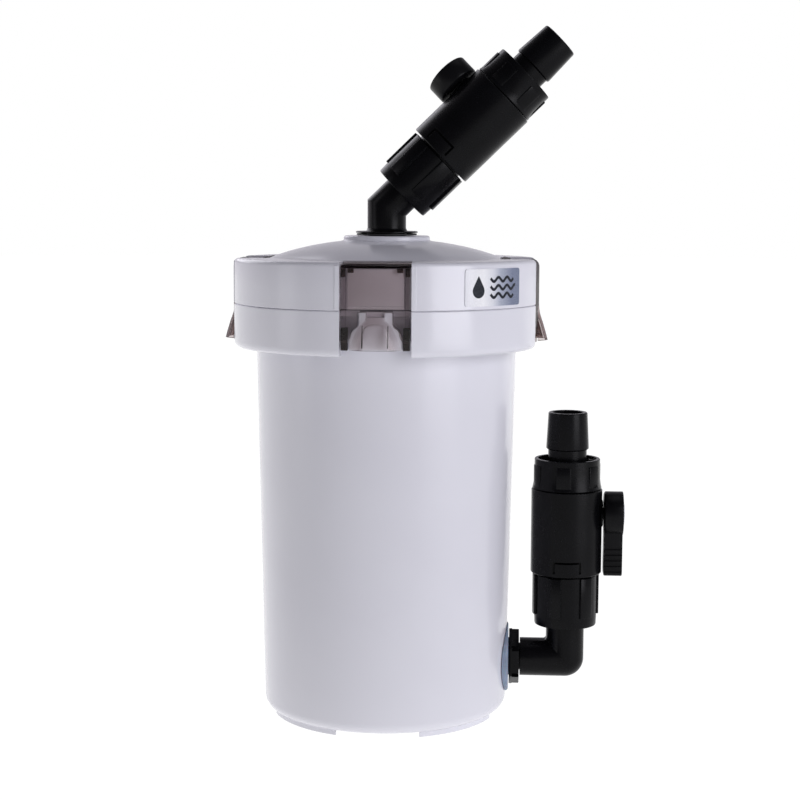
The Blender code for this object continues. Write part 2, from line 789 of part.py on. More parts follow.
def make_valves():
    """The outlet valve, closed, and the inlet valve, open, sharing meshes."""
    bend = at(0, 0, OUTLET_BEND_Z) @ Matrix.Rotation(OUTLET_TILT, 4, "Y")
    outlet_frame = bend @ at(0, 0, OUTLET_NUT_FROM_BEND) @ about_z(math.pi + OUTLET_ROLL)
    inlet_frame = at(INLET_VALVE_X, 0, INLET_NUT_Z)
    opened = at(*BALL_CENTRE)
    closed = opened @ Matrix.Rotation(math.radians(-90), 4, "X")
    built = [(name, build(), finish, turns) for name, build, finish, turns in VALVE_PIECES]
    for side, frame, knob_turn in (
        ("outlet", outlet_frame, closed),
        ("inlet", inlet_frame, opened),
    ):
        axis = empty(f"{side}_valve_axis", frame)
        knob_axis = empty(f"{side}_knob_axis", knob_turn, axis)
        for name, obj, finish, turns in built:
            parent = knob_axis if turns else axis
            if side == "inlet":
                copy_part(obj, f"{side}_{name}", Matrix(), parent)
                continue
            if turns:
                moved(obj, opened.inverted())
            finished(obj, f"{side}_{name}", finish, parent=parent)


# ---------------------------------------------------------------- outlet elbow
# (radius, z) of the flange that rests on the hub's gasket
SEAT_FLANGE = [(0, 207.1), (12.9, 207.1), (13.15, 206.8), (13.15, 206.4), (0, 206.4)]


def make_outlet_elbow():
    direction = Vector((math.sin(OUTLET_TILT), 0, math.cos(OUTLET_TILT)))
    bend = Vector((0, 0, OUTLET_BEND_Z))
    end = OUTLET_NUT_FROM_BEND + NUT_OVERLAP
    path = [(0, 0, 194.8), bend, bend + direction * end]
    elbow = mitred_tube("elbow", path, TUBE_R, FINE)
    join(elbow, turned("seat_flange", SEAT_FLANGE, FINE))
    flange = rod("end_flange", END_FLANGE_R, end - END_FLANGE_H, end, FINE)
    moved(flange, at(0, 0, OUTLET_BEND_Z) @ Matrix.Rotation(OUTLET_TILT, 4, "Y"))
    join(elbow, flange)
    bore_path = [(0, 0, 180), bend, bend + direction * 30]
    cut(elbow, mitred_tube("elbow_bore", bore_path, BORE_R, COARSE))
    finished(elbow, "outlet_elbow", BLACK, at(0, 0, OUTLET_BEND_Z))


def make_outlet_gasket():
    finished(tube("gasket", 12.8, PORT_R, 205.5, 206.1, FINE), "outlet_gasket", RUBBER)


def make_outlet_lock_nut():
    nut = slab("lock_nut", hexagon(12.6, 0), 195.9, 199.9)
    cut(nut, rod("thread", THREAD_R, 190, 205, FINE))
    finished(nut, "outlet_lock_nut", BLACK)


# ---------------------------------------------------------------- inlet fitting
INLET_AXIS = at(0, 0, INLET_Z)

# Profiles of (radius, distance along +X)
BULKHEAD = [
    (BORE_R, 58.1), (TUBE_R, 58.1), (TUBE_R, 48.0), (12.5, 48.0), (12.5, 45.2), (BORE_R, 45.2),
]
SPIGOT = [
    (0, 60), (5.85, 60), (5.85, 54.9), (5.0, 54.9),
    (5.0, 53.1), (5.85, 53.1), (5.85, 50.0), (0, 50.0),
]
SWIVEL_SEAL = [(5.6, 54.5), (6.0, 54.0), (5.6, 53.5), (5.2, 54.0)]


def make_inlet_gasket():
    """A ring whose inner end is shaped to the barrel."""
    gasket = moved(tube("gasket", 14.9, PORT_R, 47.0, 53.6, FINE, "X"), INLET_AXIS)
    edge_r = barrel_radius(BARREL_EDGE_Z) + GAP
    clearance = [(0, 60), (barrel_radius(60) + GAP, 60)]
    clearance += [(edge_r, BARREL_EDGE_Z), (edge_r, 0), (0, 0)]
    cut(gasket, turned("barrel_clearance", clearance, ROUND))
    finished(gasket, "inlet_gasket", CLEAR_RUBBER)


def make_inlet_bulkhead():
    bulkhead = moved(turned("bulkhead", BULKHEAD, FINE, "X"), INLET_AXIS)
    finished(bulkhead, "inlet_bulkhead", BLACK)

    nut = slab("bulkhead_nut", hexagon(12.35, 30), 53.9, 58.2)
    cut(nut, rod("thread", THREAD_R, 50, 62, FINE))
    moved(nut, ACROSS)
    finished(moved(nut, INLET_AXIS), "inlet_bulkhead_nut", BLACK)


def make_inlet_elbow():
    corner_x = INLET_VALVE_X
    corner = (corner_x, 0, INLET_Z)
    top = INLET_NUT_Z + NUT_OVERLAP
    elbow = mitred_tube("elbow", [(58.6, 0, INLET_Z), corner, (corner_x, 0, top)], TUBE_R, FINE)
    # flat across the outside of the corner
    trim = box("corner_trim", (8.9, -20, -20), (30, 20, 20))
    cut(elbow, moved(trim, at(*corner) @ Matrix.Rotation(math.radians(45), 4, "Y")))
    spigot = moved(turned("spigot", SPIGOT, COARSE, "X"), INLET_AXIS)
    flange_low = top - END_FLANGE_H
    flange_centre = (corner_x, 0, 0)
    flange = rod("end_flange", END_FLANGE_R, flange_low, top, FINE, centre=flange_centre)
    join(elbow, spigot, flange)
    bore_path = [
        (60.5, 0, INLET_Z), (corner_x - 3, 0, INLET_Z),
        (corner_x, 0, INLET_Z + 3), (corner_x, 0, 60),
    ]
    cut(
        elbow,
        rod("spigot_bore", 4.2, 45, 66, COARSE, "X", (0, 0, INLET_Z)),
        mitred_tube("elbow_bore", bore_path, BORE_R, COARSE),
    )
    finished(elbow, "inlet_elbow", BLACK, INLET_AXIS)


def make_inlet_seal():
    seal = moved(turned("swivel_seal", SWIVEL_SEAL, COARSE, "X"), INLET_AXIS)
    finished(seal, "inlet_swivel_seal", RUBBER, INLET_AXIS)


# ---------------------------------------------------------------- baskets and media
BASKET_H = 64.5
STACK_GAP = 0.4
LOWER_BASKET_Z = 37.5
UPPER_BASKET_Z = LOWER_BASKET_Z + BASKET_H + STACK_GAP
COVER_Z = UPPER_BASKET_Z + BASKET_H + STACK_GAP
COVER_R = 49.2
COVER_H = 2
LEG_BOTTOM_Z = 4.95
SLOT_HALF = 2.2
MEDIA_FLOOR = 2.4  # underside of the media above the underside of its basket
MEDIA_TOP = 61
PAD_EDGE = 1.2  # bevel round the top of each pad
HANDLE_Y = -9.0
HANDLE_Z = COVER_Z + 4.6

# (radius, height above the basket's underside)
BASKET_PROFILE = [
    (0, 2.0), (47.2, 2.0), (47.8, BASKET_H), (50.0, BASKET_H), (50.0, BASKET_H - 2.5),
    (49.2, BASKET_H - 2.5), (48.8, 0), (0, 0),
]
# (name, radius, basket height, underside and top above the basket's, finish)
MEDIA = (
    ("coarse_sponge", 46.6, LOWER_BASKET_Z, MEDIA_FLOOR, 27, SPONGE),
    ("ceramic_ring_bag", 46.0, LOWER_BASKET_Z, MEDIA_FLOOR + 27.6, MEDIA_TOP, NET),
    ("activated_carbon_bag", 46.0, UPPER_BASKET_Z, MEDIA_FLOOR, 34, CARBON),
    ("fine_floss_pad", 46.6, UPPER_BASKET_Z, MEDIA_FLOOR + 34.6, MEDIA_TOP, FLOSS),
)


def radial_slots(near, far, low, high, angles):
    slot = box("slots", (near, -SLOT_HALF, low), (far, SLOT_HALF, high))
    return copies(slot, [math.radians(angle) for angle in angles])


def basket_shell():
    """A slotted cup with windows through its side."""
    shell = turned("basket", BASKET_PROFILE, MEDIUM)
    for k in range(4):
        window = box("window", (-3.2, -60, 9), (3.2, 60, BASKET_H - 9))
        cut(shell, moved(window, about_z(math.radians(45 * k + 22.5))))
    return cut(shell, radial_slots(12, 41, -5, 6, [45 * k for k in range(8)]))


def make_baskets():
    lower = basket_shell()
    legs = tube("legs", 46.4, 44.4, LEG_BOTTOM_Z - LOWER_BASKET_Z, 1.0, 24)
    join(lower, cut_into_quarters(legs, 25, -40, 10))
    finished(moved(lower, at(0, 0, LOWER_BASKET_Z)), "lower_media_basket", BASKET_GREY)
    upper = moved(basket_shell(), at(0, 0, UPPER_BASKET_Z))
    finished(upper, "upper_media_basket", BASKET_GREY)


def make_media():
    for name, radius, basket_z, underside, top, finish in MEDIA:
        low = basket_z + underside
        high = basket_z + MEDIA_FLOOR + top
        profile = [(0, high), (radius - PAD_EDGE, high), (radius, high - PAD_EDGE)]
        profile += [(radius, low), (0, low)]
        finished(turned(name, profile, MEDIUM), name, finish)


def make_basket_cover():
    low, high = COVER_Z, COVER_Z + COVER_H
    profile = [(0, high), (COVER_R, high), (COVER_R, low), (0, low)]
    cover = turned("cover", profile, MEDIUM)
    cut(cover, radial_slots(14, 43, low - 5, low + 5, [36 * k + 18 for k in range(10)]))
    for side in (-1, 1):
        left, right = span(side, 20.4, 22.8)
        join(cover, box("lug", (left, -11.6, low + 0.8), (right, -6.4, low + 7.2)))
    cut(cover, rod("lug_hole", 1.95, -30, 30, 10, "X", (0, HANDLE_Y, HANDLE_Z)))
    finished(cover, "basket_cover", BASKET_GREY)


def make_basket_handle():
    """A bail lying flat, its two ends turned out through the lugs."""
    y, z = HANDLE_Y, HANDLE_Z
    arm_x, end_x, reach = 18.4, 24.2, 17.5
    path = [(-end_x, y, z), (-arm_x, y, z), (-arm_x, y + reach, z)]
    path += [(arm_x, y + reach, z), (arm_x, y, z), (end_x, y, z)]
    handle = mitred_tube("handle", path, 1.5, 8)
    finished(handle, "basket_handle", BASKET_GREY, at(0, y, z))


# ---------------------------------------------------------------- assembly
make_canister()
make_lid()
make_seal_ring()
make_latches()
make_plate()
make_valves()
make_outlet_elbow()
make_outlet_gasket()
make_outlet_lock_nut()
make_inlet_gasket()
make_inlet_bulkhead()
make_inlet_elbow()
make_inlet_seal()
make_baskets()
make_media()
make_basket_cover()
make_basket_handle()

datum = empty("canister_filter_datum", at(0, 0, -FOOT_H))
for part in list(PARTS.objects):
    if part.parent is None and part is not datum:
        part.parent = datum
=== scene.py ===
"""Looks for an upright canister filter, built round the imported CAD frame.

The filter stands on its feet round the Z axis. Its front faces -Y, the inlet
leaves the foot towards +X, and the outlet leaves the lid leaning towards +X.
Lengths are in millimetres and turned into metres by MM. Heights are measured
from the floor, and every finished mesh is lowered by FOOT_H into the row
frame, whose origin is the flat underside.
"""

import json
from math import cos, hypot, pi, radians, sin, tan

import bmesh  # noqa: E402
import bpy  # noqa: E402
from mathutils import Matrix, Vector, noise  # noqa: E402

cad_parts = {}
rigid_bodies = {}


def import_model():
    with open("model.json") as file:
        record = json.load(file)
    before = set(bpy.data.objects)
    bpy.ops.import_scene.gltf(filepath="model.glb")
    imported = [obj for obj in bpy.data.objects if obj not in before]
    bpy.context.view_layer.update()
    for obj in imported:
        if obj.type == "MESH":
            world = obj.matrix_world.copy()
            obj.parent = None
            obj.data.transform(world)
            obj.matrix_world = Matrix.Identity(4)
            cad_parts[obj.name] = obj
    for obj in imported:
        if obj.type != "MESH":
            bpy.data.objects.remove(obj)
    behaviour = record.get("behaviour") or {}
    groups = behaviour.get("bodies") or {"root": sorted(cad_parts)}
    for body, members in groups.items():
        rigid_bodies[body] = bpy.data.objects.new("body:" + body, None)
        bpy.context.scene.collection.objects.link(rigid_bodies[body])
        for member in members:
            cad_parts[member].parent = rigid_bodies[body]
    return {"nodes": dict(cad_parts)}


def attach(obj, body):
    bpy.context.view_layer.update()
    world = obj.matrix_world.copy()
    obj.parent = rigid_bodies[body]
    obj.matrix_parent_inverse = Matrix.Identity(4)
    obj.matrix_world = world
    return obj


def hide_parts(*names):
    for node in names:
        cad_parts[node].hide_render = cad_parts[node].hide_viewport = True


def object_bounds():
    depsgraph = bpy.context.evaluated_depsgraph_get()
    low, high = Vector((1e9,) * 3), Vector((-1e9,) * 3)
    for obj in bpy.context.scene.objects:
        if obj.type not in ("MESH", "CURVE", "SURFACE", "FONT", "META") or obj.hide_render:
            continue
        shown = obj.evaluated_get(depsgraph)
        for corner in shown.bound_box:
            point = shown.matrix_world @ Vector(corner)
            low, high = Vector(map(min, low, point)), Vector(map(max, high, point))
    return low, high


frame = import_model()
CAD_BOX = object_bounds()
NODES = frame["nodes"]

MM = 0.001
FOOT_H = 2.0
DOWN = Matrix.Translation((0, 0, -FOOT_H * MM))

# ------------------------------------------------- sizes shared with the CAD
BIG = 168  # segments of the large shells
MID = 96  # segments of the valve pieces
LOW = 40  # segments of small rods and bores

WALL = 2.4
PARTING_Z = 176.8
COLLAR_R = 65.0
COLLAR_BOTTOM_Z = 158.5
SPIGOT_TOP_Z = 181.0
LID_BOTTOM_Z = 176.90
LID_RIM_Z = 195.9
HUB_R = 18.3
HUB_TOP_Z = 205.2
PORT_R = 8.6  # holes of the lid, the canister and their gaskets

LATCH_HALF = 13.65
POCKET_HALF = 14.2
LATCH_TOP_Z = 195.6
LATCH_BOTTOM_Z = 161.4
PIVOT_R = 50.4
PIVOT_Z = 194.6
HINGE = (0, -PIVOT_R, PIVOT_Z)

TUBE_R = 8.2
BORE_R = 6.2
NUT_OVERLAP = 6.0  # length of elbow inside its union nut
END_FLANGE_R = 11.2
END_FLANGE_H = 3.1
OUTLET_BEND_Z = 217.0
OUTLET_TILT = radians(46)
OUTLET_ROLL = radians(-14.7)
OUTLET_NUT_FROM_BEND = 8.7
INLET_Z = 23.1
INLET_VALVE_X = 78.0
INLET_NUT_Z = 38.3
BALL_Z = 48.4

BASKET_H = 64.5
BASKET_GAP = 0.4
LOWER_BASKET_Z = 37.5
UPPER_BASKET_Z = LOWER_BASKET_Z + BASKET_H + BASKET_GAP
COVER_Z = UPPER_BASKET_Z + BASKET_H + BASKET_GAP


def barrel_r(z):
    """Outer radius of the tapered barrel."""
    return 55.81 - 0.0207 * (PARTING_Z - z)


WORK = bpy.data.collections.new("work")
bpy.context.scene.collection.children.link(WORK)
LOOK = bpy.data.collections.new("canister_filter_look")
bpy.context.scene.collection.children.link(LOOK)


# ------------------------------------------------------------------ materials
class Tree:
    """A node tree, with short ways to add the nodes used here."""

    def __init__(self, owner):
        owner.use_nodes = True
        self.tree = owner.node_tree

    def feed(self, socket, value):
        """Links an output to the socket, or sets a plain value or RGB colour."""
        if isinstance(value, bpy.types.NodeSocket):
            self.tree.links.new(value, socket)
        elif socket.type == "RGBA":
            socket.default_value = (*value, 1.0)
        else:
            socket.default_value = value

    def add(self, kind, inputs=None, **settings):
        node = self.tree.nodes.new(kind)
        for key, value in settings.items():
            setattr(node, key, value)
        for key, value in (inputs or {}).items():
            self.feed(node.inputs[key], value)
        return node

    def spread(self, value, start, end, low=0.0, high=1.0, **settings):
        """Maps start..end on to low..high."""
        ends = {"From Min": start, "From Max": end, "To Min": low, "To Max": high}
        return self.add("ShaderNodeMapRange", {**ends, "Value": value}, **settings).outputs["Result"]

    def vary(self, value, low, high):
        """Spreads the usual range of a noise over low..high."""
        return self.spread(value, 0.3, 0.7, low, high)

    def blend(self, amount, first, second):
        inputs = {"Factor": amount, 6: first, 7: second}
        return self.add("ShaderNodeMix", inputs, data_type="RGBA").outputs[2]

    def mottle(self, value, first, second, start=0.3, end=0.7):
        """Blends two colours by a noise."""
        return self.blend(self.spread(value, start, end), first, second)

    def calculate(self, operation, *inputs):
        return self.add("ShaderNodeMath", dict(enumerate(inputs)), operation=operation).outputs[0]

    def mix_shaders(self, share, first, second):
        return self.add("ShaderNodeMixShader", {0: share, 1: first, 2: second}).outputs[0]


class Look(Tree):
    """A material's node tree."""

    def __init__(self, name, colour):
        self.made = bpy.data.materials.new(name)
        super().__init__(self.made)
        self.made.diffuse_color = (*colour, 1.0)
        self.shader = self.tree.nodes["Principled BSDF"]
        self.out = self.tree.nodes["Material Output"]
        self.feed(self.shader.inputs["Base Color"], colour)
        self.place = self.add("ShaderNodeTexCoord").outputs["Object"]

    def stretched(self, scale):
        """The place, scaled along each axis."""
        inputs = {"Scale": scale, "Vector": self.place}
        return self.add("ShaderNodeMapping", inputs).outputs["Vector"]

    def noise(self, scale, detail=3.0, roughness=0.55, stretch=None):
        source = self.place if stretch is None else self.stretched(stretch)
        inputs = {"Scale": scale, "Detail": detail, "Roughness": roughness, "Vector": source}
        return self.add("ShaderNodeTexNoise", inputs).outputs["Fac"]

    def cells(self, scale, feature):
        """Distance within the cells of a Voronoi pattern."""
        inputs = {"Scale": scale, "Vector": self.place}
        return self.add("ShaderNodeTexVoronoi", inputs, feature=feature).outputs["Distance"]

    def bevel(self, radius):
        return self.add("ShaderNodeBevel", {"Radius": radius * MM}, samples=4).outputs["Normal"]

    def bump(self, height, distance, normal=None):
        inputs = {"Strength": 1.0, "Distance": distance * MM, "Height": height}
        if normal is not None:
            inputs["Normal"] = normal
        return self.add("ShaderNodeBump", inputs).outputs["Normal"]

    def surface(self, colour, rough, edge=0.0, bumps=(), **values):
        """edge is a bevel in mm, and bumps a list of (height, distance in mm)."""
        sockets = self.shader.inputs
        self.feed(sockets["Base Color"], colour)
        self.feed(sockets["Roughness"], rough)
        for key, value in values.items():
            self.feed(sockets[key.replace("_", " ")], value)
        normal = self.bevel(edge) if edge else None
        for height, distance in bumps:
            normal = self.bump(height, distance, normal)
        if normal is not None:
            self.feed(sockets["Normal"], normal)
        return self.made


def scaled(colour, factor):
    return tuple(channel * factor for channel in colour)


def white_plastic():
    """Glossy moulded ABS, faintly lavender, with a very slight flow ripple."""
    look = Look("look_white_abs", (0.745, 0.74, 0.805))
    cloud = look.noise(scale=22, detail=2)
    colour = look.mottle(cloud, (0.738, 0.733, 0.800), (0.755, 0.751, 0.816), start=0.35, end=0.65)
    fine = look.noise(scale=900, detail=2)
    rough = look.vary(look.noise(scale=60), low=0.17, high=0.25)
    ripple = look.noise(scale=34, detail=2, stretch=(1, 1, 0.35))
    return look.surface(
        colour,
        rough,
        edge=0.45,
        bumps=((ripple, 0.05), (fine, 0.0025)),
        Specular_IOR_Level=0.5,
        Coat_Weight=0.12,
        Coat_Roughness=0.08,
    )


def black_plastic(name, colour, rough, grain):
    """Satin polypropylene: fine spark-eroded grain, slightly cloudy sheen."""
    look = Look(name, colour)
    cloud = look.noise(scale=70)
    return look.surface(
        look.mottle(cloud, colour, scaled(colour, 1.5), start=0.35),
        look.vary(look.noise(scale=110, detail=4), *rough),
        edge=0.22,
        bumps=((look.noise(scale=2600, detail=2), grain),),
        Specular_IOR_Level=0.13,
    )


def rubber(name, colour, rough, clear=0.0):
    look = Look(name, colour)
    return look.surface(
        look.mottle(look.noise(scale=180), colour, scaled(colour, 1.35), start=0.35),
        look.vary(look.noise(scale=300), *rough),
        edge=0.2,
        bumps=((look.noise(scale=1500), 0.012),),
        Subsurface_Weight=clear,
        Subsurface_Scale=0.002,
    )


def smoke_plastic(name, thin, thick, depth, density):
    """Smoky see-through polycarbonate: a faintly tinted skin that mirrors by
    Fresnel, and brown absorption that deepens with thickness.

    thin and thick tint the skin; depth and density (per metre) the inside."""
    look = Look(name, (0.42, 0.36, 0.35))
    flow = look.noise(scale=120, stretch=(1, 1, 0.3))
    ripple = look.bump(look.noise(scale=150, detail=2), 0.012, look.bevel(0.3))
    skin = look.mottle(flow, thin, thick)
    # light bent inside the wall never gets out where it is seen edge-on
    facing = look.add("ShaderNodeLayerWeight", {"Blend": 0.5}).outputs["Facing"]
    skin = look.blend(look.spread(facing, start=0.62, end=0.95), skin, (0.10, 0.072, 0.068))
    clear = look.add("ShaderNodeBsdfTransparent", {"Color": skin})
    rough = look.vary(look.noise(scale=90, detail=2), low=0.05, high=0.13)
    shine = look.add(
        "ShaderNodeBsdfGlossy",
        {"Color": (0.9, 0.88, 0.88), "Roughness": rough, "Normal": ripple},
    )
    # mirroring is weaker on back faces, and limited everywhere
    mirror = look.add("ShaderNodeFresnel", {"IOR": 1.55, "Normal": ripple}).outputs[0]
    behind = look.add("ShaderNodeNewGeometry").outputs["Backfacing"]
    share = look.spread(behind, start=0.0, end=1.0, low=0.6, high=0.15)
    amount = look.calculate("MULTIPLY", mirror, share)
    limited = look.calculate("MINIMUM", amount, 0.17)
    look.tree.nodes.remove(look.shader)
    both = look.mix_shaders(limited, clear.outputs[0], shine.outputs[0])
    look.feed(look.out.inputs["Surface"], both)
    inside = look.add("ShaderNodeVolumeAbsorption", {"Color": depth, "Density": density})
    look.feed(look.out.inputs["Volume"], inside.outputs[0])
    return look.made


def steel():
    look = Look("look_steel", (0.6, 0.59, 0.58))
    lines = look.noise(scale=400, detail=2, stretch=(0.05, 1, 1))
    return look.surface(
        look.mottle(lines, (0.50, 0.49, 0.48), (0.66, 0.65, 0.64)),
        look.vary(lines, low=0.2, high=0.36),
        bumps=((lines, 0.004),),
        Metallic=1.0,
    )


# place along the fade, colour
FOIL_STOPS = (
    (0.0, (0.62, 0.62, 0.66)),
    (0.10, (0.76, 0.76, 0.80)),
    (0.32, (0.92, 0.92, 0.95)),
    (0.50, (0.74, 0.75, 0.81)),
    (0.64, (0.40, 0.43, 0.53)),
    (0.86, (0.17, 0.20, 0.30)),
    (1.0, (0.15, 0.18, 0.27)),
)


def foil():
    """Satin silver label stock, white in the middle and fading to blue-grey
    towards its right end."""
    look = Look("look_silver_foil", (0.6, 0.64, 0.72))
    split = look.add("ShaderNodeSeparateXYZ", {"Vector": look.place})
    along = look.spread(split.outputs["X"], start=0.0355, end=0.0565)
    ramp = look.add("ShaderNodeValToRGB", {"Fac": along})
    points = ramp.color_ramp.elements
    for where, _ in FOIL_STOPS[1:-1]:
        points.new(where)
    for point, (where, colour) in zip(points, FOIL_STOPS):
        point.position = where
        point.color = (*colour, 1.0)
    fleck = look.noise(scale=5000, detail=2)
    amount = look.spread(fleck, start=0.4, end=0.7, low=0.0, high=0.08)
    return look.surface(
        look.blend(amount, ramp.outputs["Color"], (0.9, 0.9, 0.95)),
        look.vary(fleck, low=0.22, high=0.32),
        bumps=((fleck, 0.002),),
        Metallic=0.1,
    )


def ink():
    look = Look("look_label_ink", (0.02, 0.022, 0.03))
    cloud = look.noise(scale=900, detail=2)
    return look.surface(
        look.mottle(cloud, (0.016, 0.018, 0.024), (0.03, 0.032, 0.042)),
        look.vary(look.noise(scale=600, detail=2), low=0.3, high=0.4),
        bumps=((look.noise(scale=1500, detail=2), 0.002),),
        Specular_IOR_Level=0.15,
    )


def matt(name, colour, rough):
    look = Look(name, colour)
    cloud = look.noise(scale=120)
    return look.surface(
        look.mottle(cloud, scaled(colour, 0.92), scaled(colour, 1.05), start=0.35),
        look.vary(look.noise(scale=240), *rough),
        edge=0.2,
        bumps=((look.noise(scale=1440, detail=2), 0.01),),
    )


def sponge():
    """Open-cell foam: a lighter skeleton, with each cell painted dark as shade inside its pore."""
    dark, light = (0.006, 0.03, 0.11), (0.05, 0.17, 0.42)
    cell = 900
    look = Look("look_blue_sponge", light)
    edge_distance = look.cells(cell, "DISTANCE_TO_EDGE")
    strut = look.spread(edge_distance, start=0.02, end=0.22, low=1.0, high=0.0)
    cloud = look.noise(scale=cell * 0.2)
    # cell middles take the dark colour: painted shade in the pores
    tint = look.blend(strut, dark, light)
    patches = look.spread(cloud, start=0.3, end=0.8, low=0.0, high=0.35)
    tint = look.blend(patches, tint, dark)
    return look.surface(tint, rough=0.92, bumps=((strut, 0.5),), Sheen_Weight=0.2)


def netting(name, thread, filling_shaded, filling_lit, lump):
    """A net bag: threads both ways over the lumps that it holds."""
    look = Look(name, filling_lit)
    # the filling is painted lighter at each lump's middle and darker between lumps: painted shade in
    # the gaps
    shade = look.spread(look.cells(lump, "F1"), start=0.0, end=0.75, low=1.0, high=0.0)
    filling = look.blend(shade, filling_shaded, filling_lit)
    threads = []
    for axis in ("X", "Y"):
        wave = look.add(
            "ShaderNodeTexWave",
            {"Scale": 700 / 6.28 / 3, "Distortion": 0.6, "Vector": look.stretched((1, 1, 0.6))},
            bands_direction=axis,
        )
        threads.append(look.spread(wave.outputs["Fac"], start=0.72, end=0.86))
    net = look.calculate("MAXIMUM", *threads)
    tint = look.blend(net, filling, thread)
    return look.surface(tint, rough=0.8, bumps=((shade, 0.8), (net, 0.15)), Sheen_Weight=0.15)


def felt():
    colour = (0.84, 0.86, 0.86)
    look = Look("look_white_floss", colour)
    fibre = look.noise(scale=260, detail=8, roughness=0.75, stretch=(1, 1, 2.5))
    loose = look.noise(scale=1400, detail=5, roughness=0.7)
    tint = look.mottle(fibre, scaled(colour, 0.82), colour)
    return look.surface(tint, rough=0.95, bumps=((fibre, 0.8), (loose, 0.2)), Sheen_Weight=0.35)


SMOKE_DENSITY = 262.0  # per metre

WHITE = white_plastic()
BLACK = black_plastic("look_black_pp", (0.0024, 0.0024, 0.0030), rough=(0.21, 0.30), grain=0.008)
KNOB_BLACK = black_plastic(
    "look_black_knob", (0.0034, 0.0034, 0.0040), rough=(0.26, 0.36), grain=0.010
)
SMOKE = smoke_plastic(
    "look_smoke_pc",
    thin=(0.955, 0.945, 0.945),
    thick=(0.975, 0.968, 0.968),
    depth=(0.52, 0.41, 0.405),
    density=SMOKE_DENSITY,
)
# a darker, seven times denser copy of the smoke plastic: painted shade for the hooks seen inside the
# clip, beyond what their thickness absorbs
SMOKE_PAINTED_SHADE = smoke_plastic(
    "look_smoke_pc_painted_shade",
    thin=(0.62, 0.55, 0.53),
    thick=(0.68, 0.61, 0.59),
    depth=(0.47, 0.42, 0.415),
    density=SMOKE_DENSITY * 7.0,
)
RUBBER = rubber("look_black_rubber", (0.014, 0.014, 0.015), rough=(0.58, 0.72))
CLEAR_RUBBER = rubber(
    "look_blue_grey_silicone", (0.20, 0.25, 0.34), rough=(0.42, 0.55), clear=0.25
)
STEEL = steel()
FOIL = foil()
INK = ink()
CAP = matt("look_cap_grey", (0.60, 0.60, 0.66), rough=(0.25, 0.38))
BASKET = matt("look_basket_grey", (0.18, 0.19, 0.21), rough=(0.36, 0.5))
PTFE = matt("look_ptfe", (0.84, 0.84, 0.82), rough=(0.3, 0.45))
BALL = matt("look_ball_white", (0.8, 0.8, 0.79), rough=(0.15, 0.25))
SPONGE = sponge()
FLOSS = felt()
CERAMIC = netting(
    "look_ceramic_net",
    thread=(0.72, 0.70, 0.66),
    filling_shaded=(0.16, 0.12, 0.09),
    filling_lit=(0.66, 0.55, 0.43),
    lump=95,
)
CARBON = netting(
    "look_carbon_net",
    thread=(0.10, 0.10, 0.105),
    filling_shaded=(0.004, 0.004, 0.004),
    filling_lit=(0.05, 0.05, 0.052),
    lump=210,
)


# --------------------------------------------------------------------- shapes
def helper(name, mesh):
    obj = bpy.data.objects.new(name, mesh)
    WORK.objects.link(obj)
    return obj


def from_bmesh(name, shape):
    bmesh.ops.recalc_face_normals(shape, faces=shape.faces)
    mesh = bpy.data.meshes.new(name)
    shape.to_mesh(mesh)
    shape.free()
    return helper(name, mesh)


def bake(obj):
    bpy.context.view_layer.update()
    graph = bpy.context.evaluated_depsgraph_get()
    mesh = bpy.data.meshes.new_from_object(obj.evaluated_get(graph))
    obj.modifiers.clear()
    obj.data = mesh


def tidy(obj, distance=1e-6):
    shape = bmesh.new()
    shape.from_mesh(obj.data)
    bmesh.ops.remove_doubles(shape, verts=shape.verts, dist=distance)
    bmesh.ops.dissolve_degenerate(shape, edges=shape.edges, dist=distance)
    bmesh.ops.recalc_face_normals(shape, faces=shape.faces)
    shape.to_mesh(obj.data)
    shape.free()


def soften(points, radius, closed=False):
    """Rounds a profile's corners with three short runs each. Slight turns, and
    the ends of an open profile, stay as they are."""
    out = []
    count = len(points)
    for i, point in enumerate(points):
        if not closed and i in (0, count - 1):
            out.append(tuple(point))
            continue
        corner = Vector(point)
        back = Vector(points[i - 1]) - corner
        ahead = Vector(points[(i + 1) % count]) - corner
        back_length, ahead_length = back.length, ahead.length
        back, ahead = back / back_length, ahead / ahead_length
        turn = pi - back.angle(ahead)
        if turn < radians(14):
            out.append(tuple(point))
            continue
        reach = min(radius * tan(turn / 2), 0.45 * back_length, 0.45 * ahead_length)
        start, end = corner + back * reach, corner + ahead * reach
        for k in range(4):
            s = k / 3
            place = start * (1 - s) ** 2 + corner * 2 * s * (1 - s) + end * s * s
            out.append((place.x, place.y))
    return out


def skin(shape, rows):
    """Faces between each row of points and the next; a row may be one point."""
    for near, far in zip(rows, rows[1:]):
        count = max(len(near), len(far))
        for k in range(count):
            after = (k + 1) % count
            if len(near) == 1:
                shape.faces.new((near[0], far[after], far[k]))
            elif len(far) == 1:
                shape.faces.new((near[k], near[after], far[0]))
            else:
                shape.faces.new((near[k], near[after], far[after], far[k]))


def lathe(name, profile, steps, axis="Z", radius=0.0):
    """A profile of (radius, height) turned about the axis, its corners rounded
    by radius. One that never meets the axis closes into a ring."""
    closed = profile[0][0] > 0 and profile[-1][0] > 0
    if radius:
        profile = soften(profile, radius, closed)
    shape = bmesh.new()
    rows = []
    for across, z in profile:
        if across < 1e-9:
            rows.append([shape.verts.new((0, 0, z * MM))])
            continue
        angles = [2 * pi * k / steps for k in range(steps)]
        rows.append(
            [shape.verts.new((across * MM * cos(t), across * MM * sin(t), z * MM)) for t in angles]
        )
    if closed:
        rows.append(rows[0])
    skin(shape, rows)
    obj = from_bmesh(name, shape)
    if axis == "X":
        obj.data.transform(Matrix.Rotation(radians(90), 4, "Y"))
    return obj


def tube(name, outer, inner, low, high, steps, radius=0.0):
    profile = [(outer, high), (outer, low), (inner, low), (inner, high)]
    return lathe(name, profile, steps, radius=radius)


